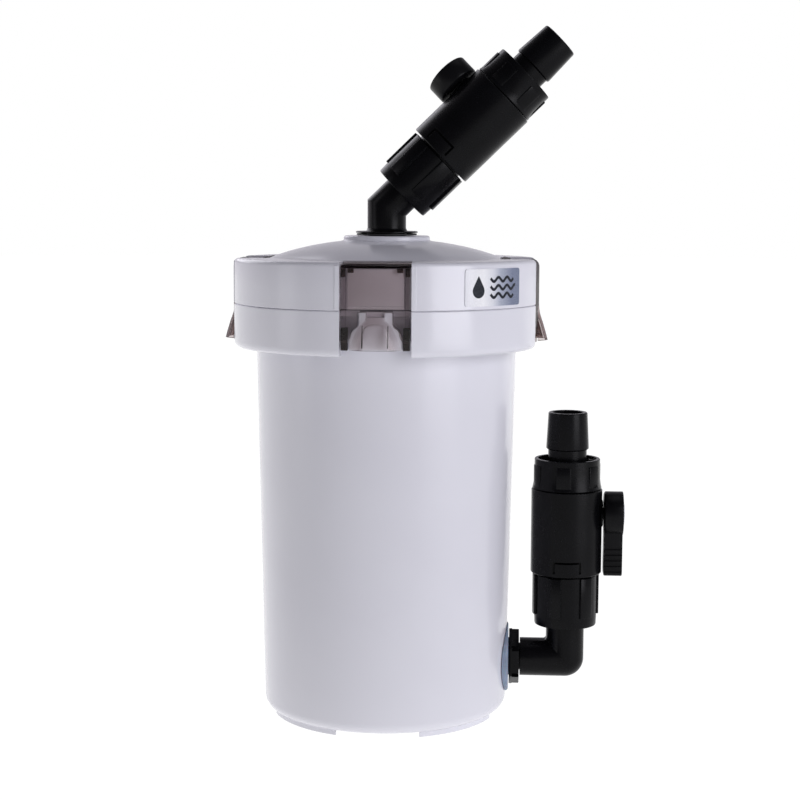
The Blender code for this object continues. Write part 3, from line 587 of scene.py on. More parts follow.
def rod(name, radius, low, high, steps, axis="Z", centre=(0, 0, 0), edge=0.0):
    obj = lathe(name, [(0, high), (radius, high), (radius, low), (0, low)], steps, axis, edge)
    obj.data.transform(Matrix.Translation(Vector(centre) * MM))
    return obj


def bevel(shape, edges, size):
    bmesh.ops.bevel(
        shape, geom=edges, offset=size * MM, segments=2, profile=0.5, affect="EDGES"
    )


def box(name, low, high, turn=0.0, edge=0.0):
    """A box between two corners, turned about Z."""
    shape = bmesh.new()
    size = [(b - a) * MM for a, b in zip(low, high)]
    middle = [(a + b) / 2 * MM for a, b in zip(low, high)]
    place = Matrix.Translation(middle) @ Matrix.Diagonal((*size, 1.0))
    bmesh.ops.create_cube(shape, size=1.0, matrix=place)
    if edge:
        bevel(shape, shape.edges[:], edge)
    obj = from_bmesh(name, shape)
    obj.data.transform(Matrix.Rotation(turn, 4, "Z"))
    return obj


# how a slab's outline and its thickness are laid out
FRONT = Matrix(((1, 0, 0), (0, 0, -1), (0, 1, 0))).to_4x4()  # (x, z), towards -Y
SIDE = Matrix(((0, 0, -1), (-1, 0, 0), (0, 1, 0))).to_4x4()  # (-y, z), towards -X
ENDWISE = Matrix(((0, 0, 1), (1, 0, 0), (0, 1, 0))).to_4x4()  # (y, z), towards +X
BACKWARD = Matrix(((1, 0, 0), (0, 0, 1), (0, 1, 0))).to_4x4()  # (x, z), towards +Y


def slab(name, outline, low, high, turn=None, edge=0.0):
    shape = bmesh.new()
    bottom = [shape.verts.new((x * MM, y * MM, low * MM)) for x, y in outline]
    top = [shape.verts.new((x * MM, y * MM, high * MM)) for x, y in outline]
    shape.faces.new(bottom)
    shape.faces.new(top)
    skin(shape, [[*bottom], [*top]])
    bmesh.ops.recalc_face_normals(shape, faces=shape.faces)
    if edge:
        bevel(shape, [e for e in shape.edges if e.calc_face_angle(0) > radians(40)], edge)
    obj = from_bmesh(name, shape)
    if turn is not None:
        obj.data.transform(turn)
    return obj


def loft(name, rings):
    """Closed body through rings of as many points each, capped at both ends."""
    shape = bmesh.new()
    rows = [[shape.verts.new(Vector(point) * MM) for point in ring] for ring in rings]
    skin(shape, rows)
    shape.faces.new(rows[0])
    shape.faces.new(rows[-1])
    return from_bmesh(name, shape)


def combine(target, how, *tools):
    for tool in tools:
        change = target.modifiers.new("Combine", "BOOLEAN")
        change.operation = how
        change.solver = "EXACT"
        change.object = tool
        bake(target)
        tidy(target)
        bpy.data.objects.remove(tool)
    return target


def cut(target, *tools):
    return combine(target, "DIFFERENCE", *tools)


def join(target, *tools):
    return combine(target, "UNION", *tools)


def together(*objs):
    """Puts shapes that stay clear of each other into one mesh."""
    shape = bmesh.new()
    for obj in objs:
        shape.from_mesh(obj.data)
    for obj in objs[1:]:
        bpy.data.objects.remove(obj)
    shape.to_mesh(objs[0].data)
    shape.free()
    return objs[0]


def repeated(obj, places):
    """One mesh with the shape at each of the places."""
    shape = bmesh.new()
    for place in places:
        mesh = obj.data.copy()
        mesh.transform(place)
        shape.from_mesh(mesh)
        bpy.data.meshes.remove(mesh)
    mesh = bpy.data.meshes.new(obj.name)
    shape.to_mesh(mesh)
    shape.free()
    obj.data = mesh
    return obj


def copies(obj, turns):
    return repeated(obj, [Matrix.Rotation(turn, 4, "Z") for turn in turns])


def quarter(k):
    """Turn from the front latch to latch k: front, right, back, left."""
    c, s = ((1, 0), (0, 1), (-1, 0), (0, -1))[k]
    return Matrix(((c, -s, 0, 0), (s, c, 0, 0), (0, 0, 1, 0), (0, 0, 0, 1)))


def at_quarters(obj):
    return repeated(obj, [quarter(k) for k in range(4)])


def arc(radius, start, end, count, centre=(0.0, 0.0), squeeze=1.0):
    """Points from start to end in degrees, squeezed along x."""
    turns = [radians(start + (end - start) * i / count) for i in range(count + 1)]
    return [
        (centre[0] + radius * squeeze * cos(turn), centre[1] + radius * sin(turn))
        for turn in turns
    ]


def mirrored(points):
    """The points, then their mirror image in x = 0 back to the start."""
    return points + [(-x, y) for x, y in reversed(points)]


def span(side, near, far):
    """Low and high x of a piece from near to far on one side, -1 or 1."""
    return sorted((side * near, side * far))


def at(x, y, z):
    return Matrix.Translation((x * MM, y * MM, z * MM))


def shifted(obj, x, y, z):
    obj.data.transform(at(x, y, z))
    return obj


def bent_tube(name, path, radius, steps):
    """A round bar along runs, each bend mitred."""
    points = [Vector(point) * MM for point in path]
    runs = [(b - a).normalized() for a, b in zip(points, points[1:])]
    side = runs[0].orthogonal().normalized()
    other = runs[0].cross(side)
    turns = [2 * pi * k / steps for k in range(steps)]
    rings = [[points[0] + radius * MM * (cos(t) * side + sin(t) * other) for t in turns]]
    for i, run in enumerate(runs):
        after = runs[min(i + 1, len(runs) - 1)]
        normal = (run + after).normalized()
        end = points[i + 1]
        rings.append([p + run * ((end - p).dot(normal) / run.dot(normal)) for p in rings[-1]])
    return loft(name, [[point / MM for point in ring] for ring in rings])


def finished(obj, name, finish, body, node=None, matrix=None, angle=32):
    """Turns a shape into a piece that rides on a CAD body."""
    if matrix is not None:
        obj.data.transform(matrix)
    obj.data.transform(DOWN)
    WORK.objects.unlink(obj)
    LOOK.objects.link(obj)
    obj.name = name
    obj.data.name = name
    obj.data.materials.clear()
    obj.data.materials.append(finish)
    obj.data.shade_smooth()
    obj.data.set_sharp_from_angle(angle=radians(angle))
    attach(obj, body)
    if node:
        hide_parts(node)


def twin(obj):
    """A second, separate shape with the same mesh."""
    return helper(obj.name + "_twin", obj.data.copy())


# ------------------------------------------------------------------- canister
def canister_profile():
    """(radius, z), up the inside, round the collar and down the outside."""
    profile = [(0, 4.6), (46.6, 4.6), (barrel_r(8.6) - WALL, 8.6)]
    profile += [(barrel_r(SPIGOT_TOP_Z) - WALL, SPIGOT_TOP_Z - 0.6)]
    profile += [(53.8, SPIGOT_TOP_Z), (55.3, SPIGOT_TOP_Z), (55.6, SPIGOT_TOP_Z - 0.3)]
    profile += [(55.6, PARTING_Z), (COLLAR_R - 0.35, PARTING_Z), (COLLAR_R, PARTING_Z - 0.35)]
    profile += [(COLLAR_R, 168.0)]
    lip = 3.2
    profile += arc(lip, 0, -90, 8, (62.9, COLLAR_BOTTOM_Z + lip), squeeze=2.1 / lip)
    profile += [(62.5, 158.7), (62.4, 160.2), (62.4, 174.0), (62.0, 174.4)]
    profile += [(barrel_r(174.4) + 0.4, 174.4)]
    profile += [(barrel_r(z), z) for z in (174.0, 140.0, 100.0, 60.0, 20.0)]
    # rounded foot of the barrel
    base, round_out, round_up = barrel_r(7.4), 4.6, 4.9
    for k in range(9):
        t = radians(11.25 * k)
        x = base - round_out + round_out * cos(t)
        profile.append((x, FOOT_H + round_up - round_up * sin(t)))
    return profile + [(0, FOOT_H)]


def feet():
    """Four short arcs under the floor of the canister."""
    outer = 49.0
    ring = tube("feet", outer, 46.4, 0.0, FOOT_H + 1.4, BIG, radius=0.5)
    ring.data.transform(Matrix.Rotation(pi / BIG, 4, "Z"))
    half = outer * sin(radians(20.7))
    return cut(
        ring,
        box("gap_x", (-60, -half, -5), (60, half, 10)),
        box("gap_y", (-half, -60, -5), (half, 60, 10)),
    )


POCKET_WALL = [  # distance out, z
    (53.0, 158.7), (60.4, 158.7), (61.2, 159.0), (61.8, 159.7), (62.3, 161.0),
    (62.3, 175.6), (53.0, 175.6),
]
POCKET_LEDGE = [(55.0, 164.5), (60.1, 164.5), (61.2, 164.9), (61.2, 165.3), (55.0, 165.3)]
BOSS_HALF = [  # x, z of the right half
    (10.5, 161.4), (10.55, 165.4), (10.35, 166.6), (9.9, 167.8), (9.2, 168.9),
    (8.4, 169.7), (7.5, 170.3), (6.9, 170.9), (6.6, 171.8), (6.6, 176.5),
]


def latch_pocket():
    """Side walls of a latch pocket, which is open at its foot, the ledges that
    the claws catch, and the boss that fills the clip's cut-out."""
    walls = slab("pocket", POCKET_WALL, -POCKET_HALF - 2, POCKET_HALF + 2, SIDE)
    cut(walls, box("inside", (-POCKET_HALF, -80, 150.0), (POCKET_HALF, -40, 185)))
    for side in (-1, 1):
        join(walls, slab("ledge", POCKET_LEDGE, *span(side, 11.9, POCKET_HALF + 0.8), SIDE))
    boss = slab("boss", mirrored(BOSS_HALF), 54.6, 61.9, FRONT, edge=0.3)
    cut(boss, box("notch", (-3.5, -70, 174.4), (3.5, -60.6, 180)))
    return together(walls, boss)


def make_canister():
    barrel = lathe("canister", canister_profile(), BIG)
    join(barrel, feet())
    opening = box("opening", (-POCKET_HALF, -70, 150.0), (POCKET_HALF, -56.6, 185))
    cut(barrel, at_quarters(opening))
    join(barrel, at_quarters(latch_pocket()))
    cut(barrel, rod("inlet_hole", PORT_R, 44, 60, LOW, "X", (0, 0, INLET_Z)))
    finished(barrel, "canister_shell", WHITE, "canister", "canister_barrel")


# ------------------------------------------------------------------------ lid
LID_DOME = [  # radius, z
    (19.8, 202.85), (24.0, 202.3), (28.3, 201.6), (32.6, 200.8), (36.9, 199.8),
    (41.1, 198.7), (44.6, 197.6), (47.4, 196.6), (48.6, 196.1), (49.8, LID_RIM_Z),
]
LID_UNDERSIDE = [  # radius, z, from the skirt in to the hub
    (62.6, 193.4), (57.6, 193.4), (57.6, 177.5), (56.0, 177.5), (56.0, 184.6),
    (52.8, 184.6), (52.8, 178.4), (51.0, 178.4), (51.0, 189.0), (47.2, 194.2),
    (36.3, 197.4), (19.5, 200.2), (PORT_R, 200.2),
]


def lid_profile():
    hub_edge, rim_edge = 0.9, 2.0
    profile = [(PORT_R, HUB_TOP_Z)]
    profile += arc(hub_edge, 90, 0, 4, (HUB_R - hub_edge, HUB_TOP_Z - hub_edge))
    profile[1] = (HUB_R - hub_edge, HUB_TOP_Z)
    profile += [(HUB_R, 203.5), (HUB_R + 0.3, 203.1)] + LID_DOME
    profile += arc(rim_edge, 90, 0, 7, (COLLAR_R - rim_edge, LID_RIM_Z - rim_edge))
    profile += [(COLLAR_R, 185.0), (COLLAR_R, LID_BOTTOM_Z + 0.35)]
    profile += [(COLLAR_R - 0.35, LID_BOTTOM_Z), (62.6, LID_BOTTOM_Z)]
    return profile + LID_UNDERSIDE


def latch_backing():
    """Solid plastic behind a latch, with the block that holds its hinge."""
    low = box("backing", (-16.2, -63.2, 177.4), (16.2, -56.6, 194.8), edge=0.25)
    return join(low, box("hinge_block", (-18.0, -58.0, 190.0), (18.0, -46.0, 195.2)))


def latch_recess():
    """Space for a latch, its hinge knuckle and its pin."""
    half = POCKET_HALF
    step = [(-half, -58.6), (-11.3, -58.6), (-11.3, -61.3), (11.3, -61.3)]
    step += [(11.3, -58.6), (half, -58.6), (half, -80), (-half, -80)]
    trough = 1.95
    return join(
        slab("recess", step, 170, 210, edge=0.3),
        box("slot", (-half, -80, 193.35), (half, -PIVOT_R + trough, 210)),
        rod("trough", trough, -half, half, LOW, "X", HINGE),
        rod("pin_hole", 1.1, -16.9, 16.9, 20, "X", HINGE),
    )


def make_lid():
    lid = lathe("lid", lid_profile(), BIG)
    join(lid, at_quarters(latch_backing()))
    cut(lid, at_quarters(latch_recess()))
    # the step across the foot of each pad
    cut(lid, at_quarters(box("step", (-11.6, -64, 170), (11.6, -60.75, 178.7), edge=0.1)))
    finished(lid, "lid_shell", WHITE, "lid", "lid_cover")

    turns = [radians(t) for t in range(0, 360, 24)]
    section = [(54.42 + 1.3 * cos(t), 182.85 + 1.3 * sin(t)) for t in turns]
    ring = lathe("seal", section, BIG)
    finished(ring, "lid_o_ring", RUBBER, "lid", "lid_seal_ring")


# -------------------------------------------------------------------- latches
LEG_HALF = LATCH_HALF - 2.7  # x of the inner edge of a leg beside the cut-out
CUTOUT = [  # x, z up the left side of the S-curved cut-out round the finger tab
    (-LEG_HALF, 161.4), (-LEG_HALF, 164.6), (-10.6, 165.4), (-9.95, 166.2), (-9.7, 167.2),
    (-9.5, 168.3), (-9.15, 169.2), (-8.6, 169.8), (-7.9, 170.2), (-7.3, 170.8),
    (-7.0, 171.8), (-7.0, 175.9), (-6.85, 176.3), (-6.45, 176.4),
]
LATCH_SLOPE = [(52.6, 197.0), (52.6, 194.6), (60.3, 194.6), (62.3, 195.5), (62.3, 197.0)]
SHOULDER = [  # radius, z of what is cut from the rounded shoulder
    (70.0, 199.0), (61.9, 199.0), (61.9, 195.75), (62.9, 195.5), (63.8, 195.0),
    (64.5, 194.2), (64.9, 193.2), (65.05, 192.0), (70.0, 192.0),
]
CLAW_SLOT = [(50, 162.6), (59.3, 162.6), (60.0, 164.1), (61.6, 164.1), (61.6, 165.7), (50, 165.7)]
TAB_RIB = [  # distance out, z
    (63.4, 162.5), (66.9, 162.5), (66.1, 165.5), (65.2, 168.5), (64.5, 171.0), (63.4, 171.2),
]
TAB_LEVELS = [  # z, half width at the base, half width of the face, y of base, y of face
    (177.7, 3.9, 2.6, -63.0, -64.9),
    (174.6, 3.9, 2.6, -63.05, -65.15),
    (173.4, 4.0, 2.7, -63.1, -65.35),
    (172.5, 4.7, 3.1, -63.2, -65.55),
    (171.6, 5.6, 3.5, -63.35, -65.8),
    (170.2, 6.7, 3.8, -63.6, -66.25),
    (168.6, 7.6, 4.0, -63.8, -66.8),
    (166.8, 8.4, 4.15, -64.05, -67.35),
    (164.8, 9.2, 4.25, -64.3, -67.95),
    (163.0, 9.8, 4.3, -64.45, -68.45),
    (161.6, 10.15, 4.3, -64.5, -68.8),
]


def tab_section(z, base, face, base_y, face_y):
    """A hooded cross-section: flat face in front, flanks swept back."""
    left = [(-base, base_y)]
    left += [(-base + (base - face) * 0.55, base_y + (face_y - base_y) * 0.72)]
    left += [(-face - 0.5, face_y + 0.3), (-face + 0.4, face_y)]
    return [(x, y, z) for x, y in mirrored(left)]


def finger_tab():
    """The flared tab, hollow behind and open at its foot."""
    tab = loft("tab", [tab_section(*level) for level in TAB_LEVELS])
    inner_y = -58.0
    hollow = [(172.6, 2.4, 1.0, inner_y, -62.6)]
    hollow += [
        (z, base - 0.9, face - 0.25, inner_y, face_y + 0.95)
        for z, base, face, _, face_y in TAB_LEVELS[5:]
    ]
    _, base, face, _, face_y = hollow[-1]
    hollow.append((158.0, base + 0.6, face, inner_y, face_y - 0.9))
    return cut(tab, loft("hood", [tab_section(*level) for level in hollow]))


def latch_leg():
    """The flat top of a latch, from the rim in to the hinge."""
    half = LATCH_HALF
    outline = [(-half, -PIVOT_R), (-half, -64.0), (half, -64.0), (half, -PIVOT_R)]
    leg = slab("leg", outline, 193.7, LATCH_TOP_Z)
    combine(leg, "INTERSECT", rod("rim", 64.6, 180, 210, BIG))
    return cut(leg, slab("slope", LATCH_SLOPE, -20, 20, SIDE))


def latch_clip():
    half = LATCH_HALF
    outline = mirrored([(-half, LATCH_BOTTOM_Z)] + CUTOUT)
    outline += [(half, 195.4), (-half, 195.4)]
    latch = slab("latch", outline, 60.0, 67.0, FRONT)
    combine(latch, "INTERSECT", tube("shell", COLLAR_R, 63.0, 150, 200, BIG))
    # fine step line above the pad's lower edge
    cut(latch, box("step", (-11.4, -66.5, 178.25), (11.4, -64.45, 178.6)))
    join(latch, latch_leg(), rod("knuckle", 1.55, -half, half, LOW, "X", HINGE))
    cut(latch, lathe("shoulder", SHOULDER, BIG))
    for side in (-1, 1):
        low, high = span(side, 11.75, half - 0.05)
        rail = box("rail", (low, -63.3, LATCH_BOTTOM_Z + 0.05), (high, -61.2, 194.2))
        join(latch, rail)
    join(latch, finger_tab())
    return cut(latch, rod("pin_bore", 1.1, -20, 20, 20, "X", HINGE))


def latch_hooks():
    """Claws, gussets and ribs seen through the clip."""
    hooks = []
    outer = LATCH_HALF - 0.05
    for side in (-1, 1):
        low, high = span(side, LEG_HALF + 0.05, outer)
        claw = box("claw", (low, -62.6, LATCH_BOTTOM_Z + 0.05), (high, -59.3, 170.2))
        cut(claw, slab("slot", CLAW_SLOT, -20, 20, SIDE))
        # gussets in the upper corners, seen through the plate
        low, high = span(side, 8.6, 10.9)
        gusset = box("gusset", (low, -62.9, 191.9), (high, -61.8, 193.6))
        low, high = span(side, 11.9, outer)
        corner = box("corner", (low, -62.4, 190.2), (high, -61.0, 193.6))
        # rib that stiffens the hood of the finger tab
        rib = slab("rib", TAB_RIB, *span(side, 4.95, 5.2), SIDE)
        hooks += [claw, gusset, corner, rib]
    return together(*hooks)


def make_latches():
    latch = latch_clip()
    hooks = latch_hooks()
    pin = rod("pin", 0.78, -16.5, 16.5, 24, "X", HINGE, edge=0.2)
    for k, name in enumerate(("front", "right", "back", "left")):
        body, smoke = f"{name}_latch", "smoke_plastic"
        turn = quarter(k)
        finished(twin(latch), f"latch_clip_{name}", SMOKE, body, f"latch_{name}", turn)
        # the hooks take the darker smoke copy, painted shade inside the clip
        finished(twin(hooks), f"latch_hooks_{name}", SMOKE_PAINTED_SHADE, body, matrix=turn)
        finished(
            twin(pin), f"hinge_pin_{name}", STEEL, "lid", f"latch_pin_{name}", turn
        )
    for shape in (latch, hooks, pin):
        bpy.data.objects.remove(shape)


# ----------------------------------------------------------------- name plate
# degrees about Z; -90 is the middle of the front
PLATE_FROM = -90 + 32.4
PLATE_SPAN = 27.2
PLATE_LOW = 178.3
PLATE_HIGH = 193.2
PLATE_CORNER = 1.1
RIPPLES = ((10.6, 12.5, 26.2), (7.4, 12.5, 27.6), (4.2, 12.5, 26.2))  # z, start x, end x
RIPPLE_RISE = 0.85
RIPPLE_LENGTH = 5.2
RIPPLE_STEPS = 44


def on_collar(x, z, radius):
    """Point at x mm along the plate from its left edge, z mm up from its foot."""
    angle = radians(PLATE_FROM) + x / COLLAR_R
    return Vector((radius * cos(angle), radius * sin(angle), PLATE_LOW + z)) * MM


def wrapped(name, outline, low, high, cell=0.6):
    """A flat outline in plate millimetres, wrapped round the collar."""
    shape = bmesh.new()
    rows = [[shape.verts.new((x, z, radius)) for x, z in outline] for radius in (low, high)]
    shape.faces.new(rows[0])
    shape.faces.new(rows[1])
    skin(shape, rows)
    # cut across at every cell, so that the faces can bend
    places = [point[0] for point in outline]
    x = min(places) + cell
    while x < max(places) - 1e-3:
        geometry = shape.verts[:] + shape.edges[:] + shape.faces[:]
        bmesh.ops.bisect_plane(shape, geom=geometry, plane_co=(x, 0, 0), plane_no=(1, 0, 0))
        x += cell
    for vert in shape.verts:
        vert.co = on_collar(*vert.co)
    return from_bmesh(name, shape)


def ribbon(points, width):
    """Outline of a line of even width through points."""
    left, right = [], []
    for k, (x, z) in enumerate(points):
        before, after = points[max(0, k - 1)], points[min(len(points) - 1, k + 1)]
        step = Vector((after[0] - before[0], after[1] - before[1])).normalized() * width / 2
        left.append((x - step.y, z + step.x))
        right.append((x + step.y, z - step.x))
    return left + list(reversed(right))


def make_plate():
    long, tall, corner = COLLAR_R * radians(PLATE_SPAN), PLATE_HIGH - PLATE_LOW, PLATE_CORNER
    outline = []
    for start, centre in (
        (180, (corner, corner)),
        (270, (long - corner, corner)),
        (0, (long - corner, tall - corner)),
        (90, (corner, tall - corner)),
    ):
        outline += arc(corner, start, start + 90, 5, centre)
    plate = wrapped("plate", outline, COLLAR_R - 0.15, COLLAR_R + 0.34)
    finished(plate, "badge_plate", FOIL, "lid", "lid_badge")

    # the print: a water drop and three ripples
    low, high = COLLAR_R + 0.30, COLLAR_R + 0.40
    drop_x, drop_z, drop_r = 6.4, 6.2, 2.9
    drop = [(drop_x, drop_z + 6.0)]
    drop += [(drop_x + x * drop_r, drop_z + z * drop_r) for x, z in arc(1.0, 28, -208, 26)]
    marks = [wrapped("drop", soften(drop, 0.2, closed=True), low, high)]
    for z, start, end in RIPPLES:
        line = []
        for k in range(RIPPLE_STEPS + 1):
            x = start + (end - start) * k / RIPPLE_STEPS
            line.append((x, z + RIPPLE_RISE * sin(2 * pi * x / RIPPLE_LENGTH)))
        marks.append(wrapped("ripple", ribbon(line, 1.15), low, high))
    finished(together(*marks), "badge_print", INK, "lid")


# --------------------------------------------------------------------- valves
# Profiles are (radius, z) about the valve's own axis, with the origin at the
# bottom of the union nut and the knob towards +X. Those of the stem boss, the
# knob and its cap are (radius, x) about the knob's axis.
UNION_NUT = [
    (11.8, 22.1), (13.15, 22.1), (13.4, 21.85), (13.4, 4.0), (13.25, 0.5), (13.15, 0.15),
    (12.9, 0), (8.7, 0), (8.7, 2.6), (11.8, 2.6),
]
VALVE_BODY = [
    (9.4, 62.4), (11.6, 62.4), (11.6, 59.0), (14.95, 59.0), (15.2, 58.75), (15.2, 30.0),
    (15.2, 23.1), (14.9, 22.8), (11.4, 22.8), (11.4, 7.2), (6.0, 7.2), (6.0, 37.0), (9.4, 37.0),
]
STEM_BOSS = [
    (0, 15.4), (5.7, 15.4), (6.0, 15.1), (6.0, 14.75), (6.5, 14.2), (7.8, 13.0), (7.8, 12.0),
    (0, 12.0),
]
KNOB = [
    (0, 24.1), (9.2, 24.1), (9.42, 24.0), (9.5, 23.8), (9.5, 16.7), (9.3, 16.3),
    (8.6, 15.95), (6.6, 15.8), (0, 15.8),
]
LEVER_END = -26.5  # from the knob's axis
LEVER_HALF = [  # y, z from the knob's axis
    (-5.6, -3.0), (-5.05, LEVER_END + 1.4), (-4.7, LEVER_END + 0.5), (-3.9, LEVER_END),
]
KNOB_CAP = [
    (0, 24.95), (2.0, 24.9), (4.0, 24.72), (5.4, 24.45), (6.1, 24.1), (6.25, 23.8),
    (6.2, 23.6), (0, 23.6),
]
LOCK_RING = [
    (12.5, 72.2), (13.75, 72.2), (14.0, 71.95), (14.05, 67.0), (14.15, 63.5), (14.4, 61.4),
    (14.7, 60.1), (14.8, 59.6), (14.6, 59.3), (12.0, 59.3), (12.0, 65.2), (8.7, 65.2),
    (8.7, 66.6), (12.5, 66.6),
]
HOSE_TAIL = [
    (6.5, 91.8), (6.8, 92.1), (8.0, 92.1), (8.35, 91.7), (9.1, 77.1), (9.05, 76.6),
    (8.75, 76.3), (8.25, 76.1), (8.25, 64.9), (11.2, 64.9), (11.2, 62.8), (9.1, 62.8),
    (9.1, 59.8), (6.0, 59.8),
]
STEM_R = 2.65
KNOB_AXIS = (0, 0, BALL_Z)


def grip_panels(inner, outer, low, high, turn):
    """Six raised panels round a nut or ring, turned by degrees."""
    count, half_angle = 6, 12.5
    outline = arc(inner, -half_angle, half_angle, 4)
    outline += list(reversed(arc(outer, -half_angle, half_angle, 8)))
    panel = slab("panel", outline, low, high, edge=0.22)
    return copies(panel, [2 * pi * k / count + radians(turn) for k in range(count)])


def union_nut():
    return join(lathe("nut", UNION_NUT, MID), grip_panels(12.6, 14.3, 4.6, 21.9, turn=8))


def valve_body():
    body = lathe("body", VALVE_BODY, MID)
    # the stem boss, flared where it meets the body
    join(body, shifted(lathe("boss", STEM_BOSS, LOW, "X"), *KNOB_AXIS))
    cut(
        body,
        rod("stem_bore", STEM_R, 6, 20, 24, "X", KNOB_AXIS),
        rod("seal_pocket", 3.9, 13.2, 20, 24, "X", KNOB_AXIS),
    )
    # bayonet tongue: a thin groove, open at the foot, front and back
    half, top, foot, width = 5.95, 29.5, 24.4, 0.85
    outline = [(-half, foot), (-half, top), (half, top), (half, foot)]
    outline += [(half - width, foot), (half - width, top - width)]
    outline += [(-half + width, top - width), (-half + width, foot)]
    groove = slab("groove", outline, 12.5, 16.5, FRONT)
    return cut(body, repeated(groove, [quarter(0), quarter(2)]))


def knob():
    """A round knob with a ribbed lever hanging from it."""
    wheel = shifted(lathe("knob", KNOB, MID, "X"), *KNOB_AXIS)
    outline = [(y, z + BALL_Z) for y, z in mirrored(LEVER_HALF)]
    lever = slab("lever", outline, 16.0, 23.9, edge=0.45)
    lever.data.transform(ENDWISE)
    gaps = []
    for k in range(5):
        z = BALL_Z - 14.4 - 2.45 * k
        for side in (-1, 1):
            low, high = span(side, 4.75, 9)
            gap = box("rib_gap", (14.0, low, z - 0.62), (26.0, high, z + 0.62), edge=0.18)
            gaps.append(gap)
    cut(lever, together(*gaps))
    join(wheel, lever)
    return cut(
        wheel,
        rod("stem_socket", STEM_R, 10, 18.2, 24, "X", KNOB_AXIS),
        rod("cap_recess", 6.55, 23.3, 30, LOW, "X", KNOB_AXIS),
    )


def knob_cap():
    return shifted(lathe("cap", KNOB_CAP, LOW + 8, "X"), *KNOB_AXIS)


def lock_ring():
    ring = lathe("ring", LOCK_RING, MID)
    join(ring, grip_panels(13.3, 14.55, 60.6, 69.7, turn=22))
    for side in (-1, 1):
        low, high = span(side, 10.2, 12.7)
        join(ring, box("catch", (low, -1.6, 66.2), (high, 1.6, 71.2), radians(20), edge=0.2))
    return ring


def hose_tail():
    return lathe("tail", HOSE_TAIL, MID)


VALVE_PIECES = (  # node, shape, finish, slot, CAD body
    ("union_nut", union_nut, BLACK, "black_plastic", "nut"),
    ("valve_body", valve_body, BLACK, "black_plastic", "valve"),
    ("knob", knob, KNOB_BLACK, "black_plastic", "tap"),
    ("knob_cap", knob_cap, CAP, "cap_grey", "tap"),
    ("lock_ring", lock_ring, BLACK, "black_plastic", "ring"),
    ("hose_tail", hose_tail, BLACK, "black_plastic", "valve"),
)


def make_valves():
    outlet = (
        at(0, 0, OUTLET_BEND_Z)
        @ Matrix.Rotation(OUTLET_TILT, 4, "Y")
        @ at(0, 0, OUTLET_NUT_FROM_BEND)
        @ Matrix.Rotation(pi + OUTLET_ROLL, 4, "Z")
    )
    inlet = at(INLET_VALVE_X, 0, INLET_NUT_Z)
    # the outlet's tap is turned a quarter about the knob's axis, the inlet's is not
    about_ball = at(0, 0, BALL_Z) @ Matrix.Rotation(radians(-90), 4, "X") @ at(0, 0, -BALL_Z)
    for name, build, finish, slot, body in VALVE_PIECES:
        shape = build()
        for side, place in (("outlet", outlet), ("inlet", inlet)):
            if side == "outlet" and body == "tap":
                place = place @ about_ball
            node = f"{side}_{name}"
            finished(twin(shape), f"{node}_look", finish, f"{side}_{body}", node, place)
        bpy.data.objects.remove(shape)


# --------------------------------------------------------------------- elbows
SEAT_FLANGE = [  # radius, z
    (0, 207.1), (12.8, 207.1), (13.15, 206.9), (13.15, 206.5), (13.0, 206.4), (0, 206.4),
]
ROOT_FILLET = [(0, 208.2), (8.3, 208.2), (8.5, 207.6), (9.0, 207.05), (9.2, 206.7), (0, 206.7)]
INLET_GASKET = [  # radius, x
    (PORT_R, 53.6), (13.9, 53.6), (14.6, 53.3), (14.9, 52.7), (14.9, 46.0), (PORT_R, 46.0),
]
INLET_SPIGOT = [  # radius, x
    (0, 60), (5.85, 60), (5.85, 54.9), (5.0, 54.9), (5.0, 53.1), (5.85, 53.1), (5.85, 50.0),
    (0, 50.0),
]


def make_outlet():
    direction = Vector((sin(OUTLET_TILT), 0, cos(OUTLET_TILT)))
    bend = Vector((0, 0, OUTLET_BEND_Z))
    end = OUTLET_NUT_FROM_BEND + NUT_OVERLAP
    elbow = bent_tube("elbow", [(0, 0, 194.8), bend, bend + direction * end], TUBE_R, MID)
    collar = rod("end_flange", END_FLANGE_R, end - END_FLANGE_H, end, MID, edge=0.3)
    collar.data.transform(at(0, 0, OUTLET_BEND_Z) @ Matrix.Rotation(OUTLET_TILT, 4, "Y"))
    flange = lathe("seat_flange", SEAT_FLANGE, MID)
    join(elbow, flange, lathe("root", ROOT_FILLET, MID), collar)
    cut(elbow, bent_tube("bore", [(0, 0, 180), bend, bend + direction * 30], BORE_R, LOW))
    finished(
        elbow, "outlet_elbow_look", BLACK, "outlet_bend", "outlet_elbow"
    )

    gasket = tube("gasket", 12.8, PORT_R, 205.5, 206.1, MID, radius=0.2)
    finished(gasket, "outlet_gasket_look", RUBBER, "lid", "outlet_gasket")


def make_inlet_gasket():
    """A ring shaped to sit against the barrel."""
    gasket = shifted(lathe("gasket", INLET_GASKET, MID, "X"), 0, 0, INLET_Z)
    foot_r = barrel_r(7.4) + 0.3
    barrel = [(0, 60), (barrel_r(60) + 0.3, 60), (foot_r, 7.4), (foot_r, 0), (0, 0)]
    cut(gasket, lathe("clearance", barrel, BIG))
    finished(
        gasket, "inlet_gasket_look", CLEAR_RUBBER, "canister", "inlet_gasket"
    )


def make_bulkhead_nut():
    """A hexagon nut with a slot across each corner's outer face."""
    sixths = [radians(60 * k) for k in range(6)]
    corners = [radians(30 + 60 * k) for k in range(6)]
    hexagon = [(12.35 * cos(turn), 12.35 * sin(turn)) for turn in corners]
    nut = slab("bulkhead_nut", soften(hexagon, 0.6, closed=True), 53.9, 58.2, edge=0.3)
    slots = copies(box("slot", (-1.1, 10.2, 55.2), (1.1, 14, 60)), sixths)
    cut(nut, rod("thread", 8.5, 50, 62, LOW), slots)
    nut.data.transform(ENDWISE)
    shifted(nut, 0, 0, INLET_Z)
    finished(
        nut, "inlet_bulkhead_nut_look", BLACK, "canister", "inlet_bulkhead_nut"
    )


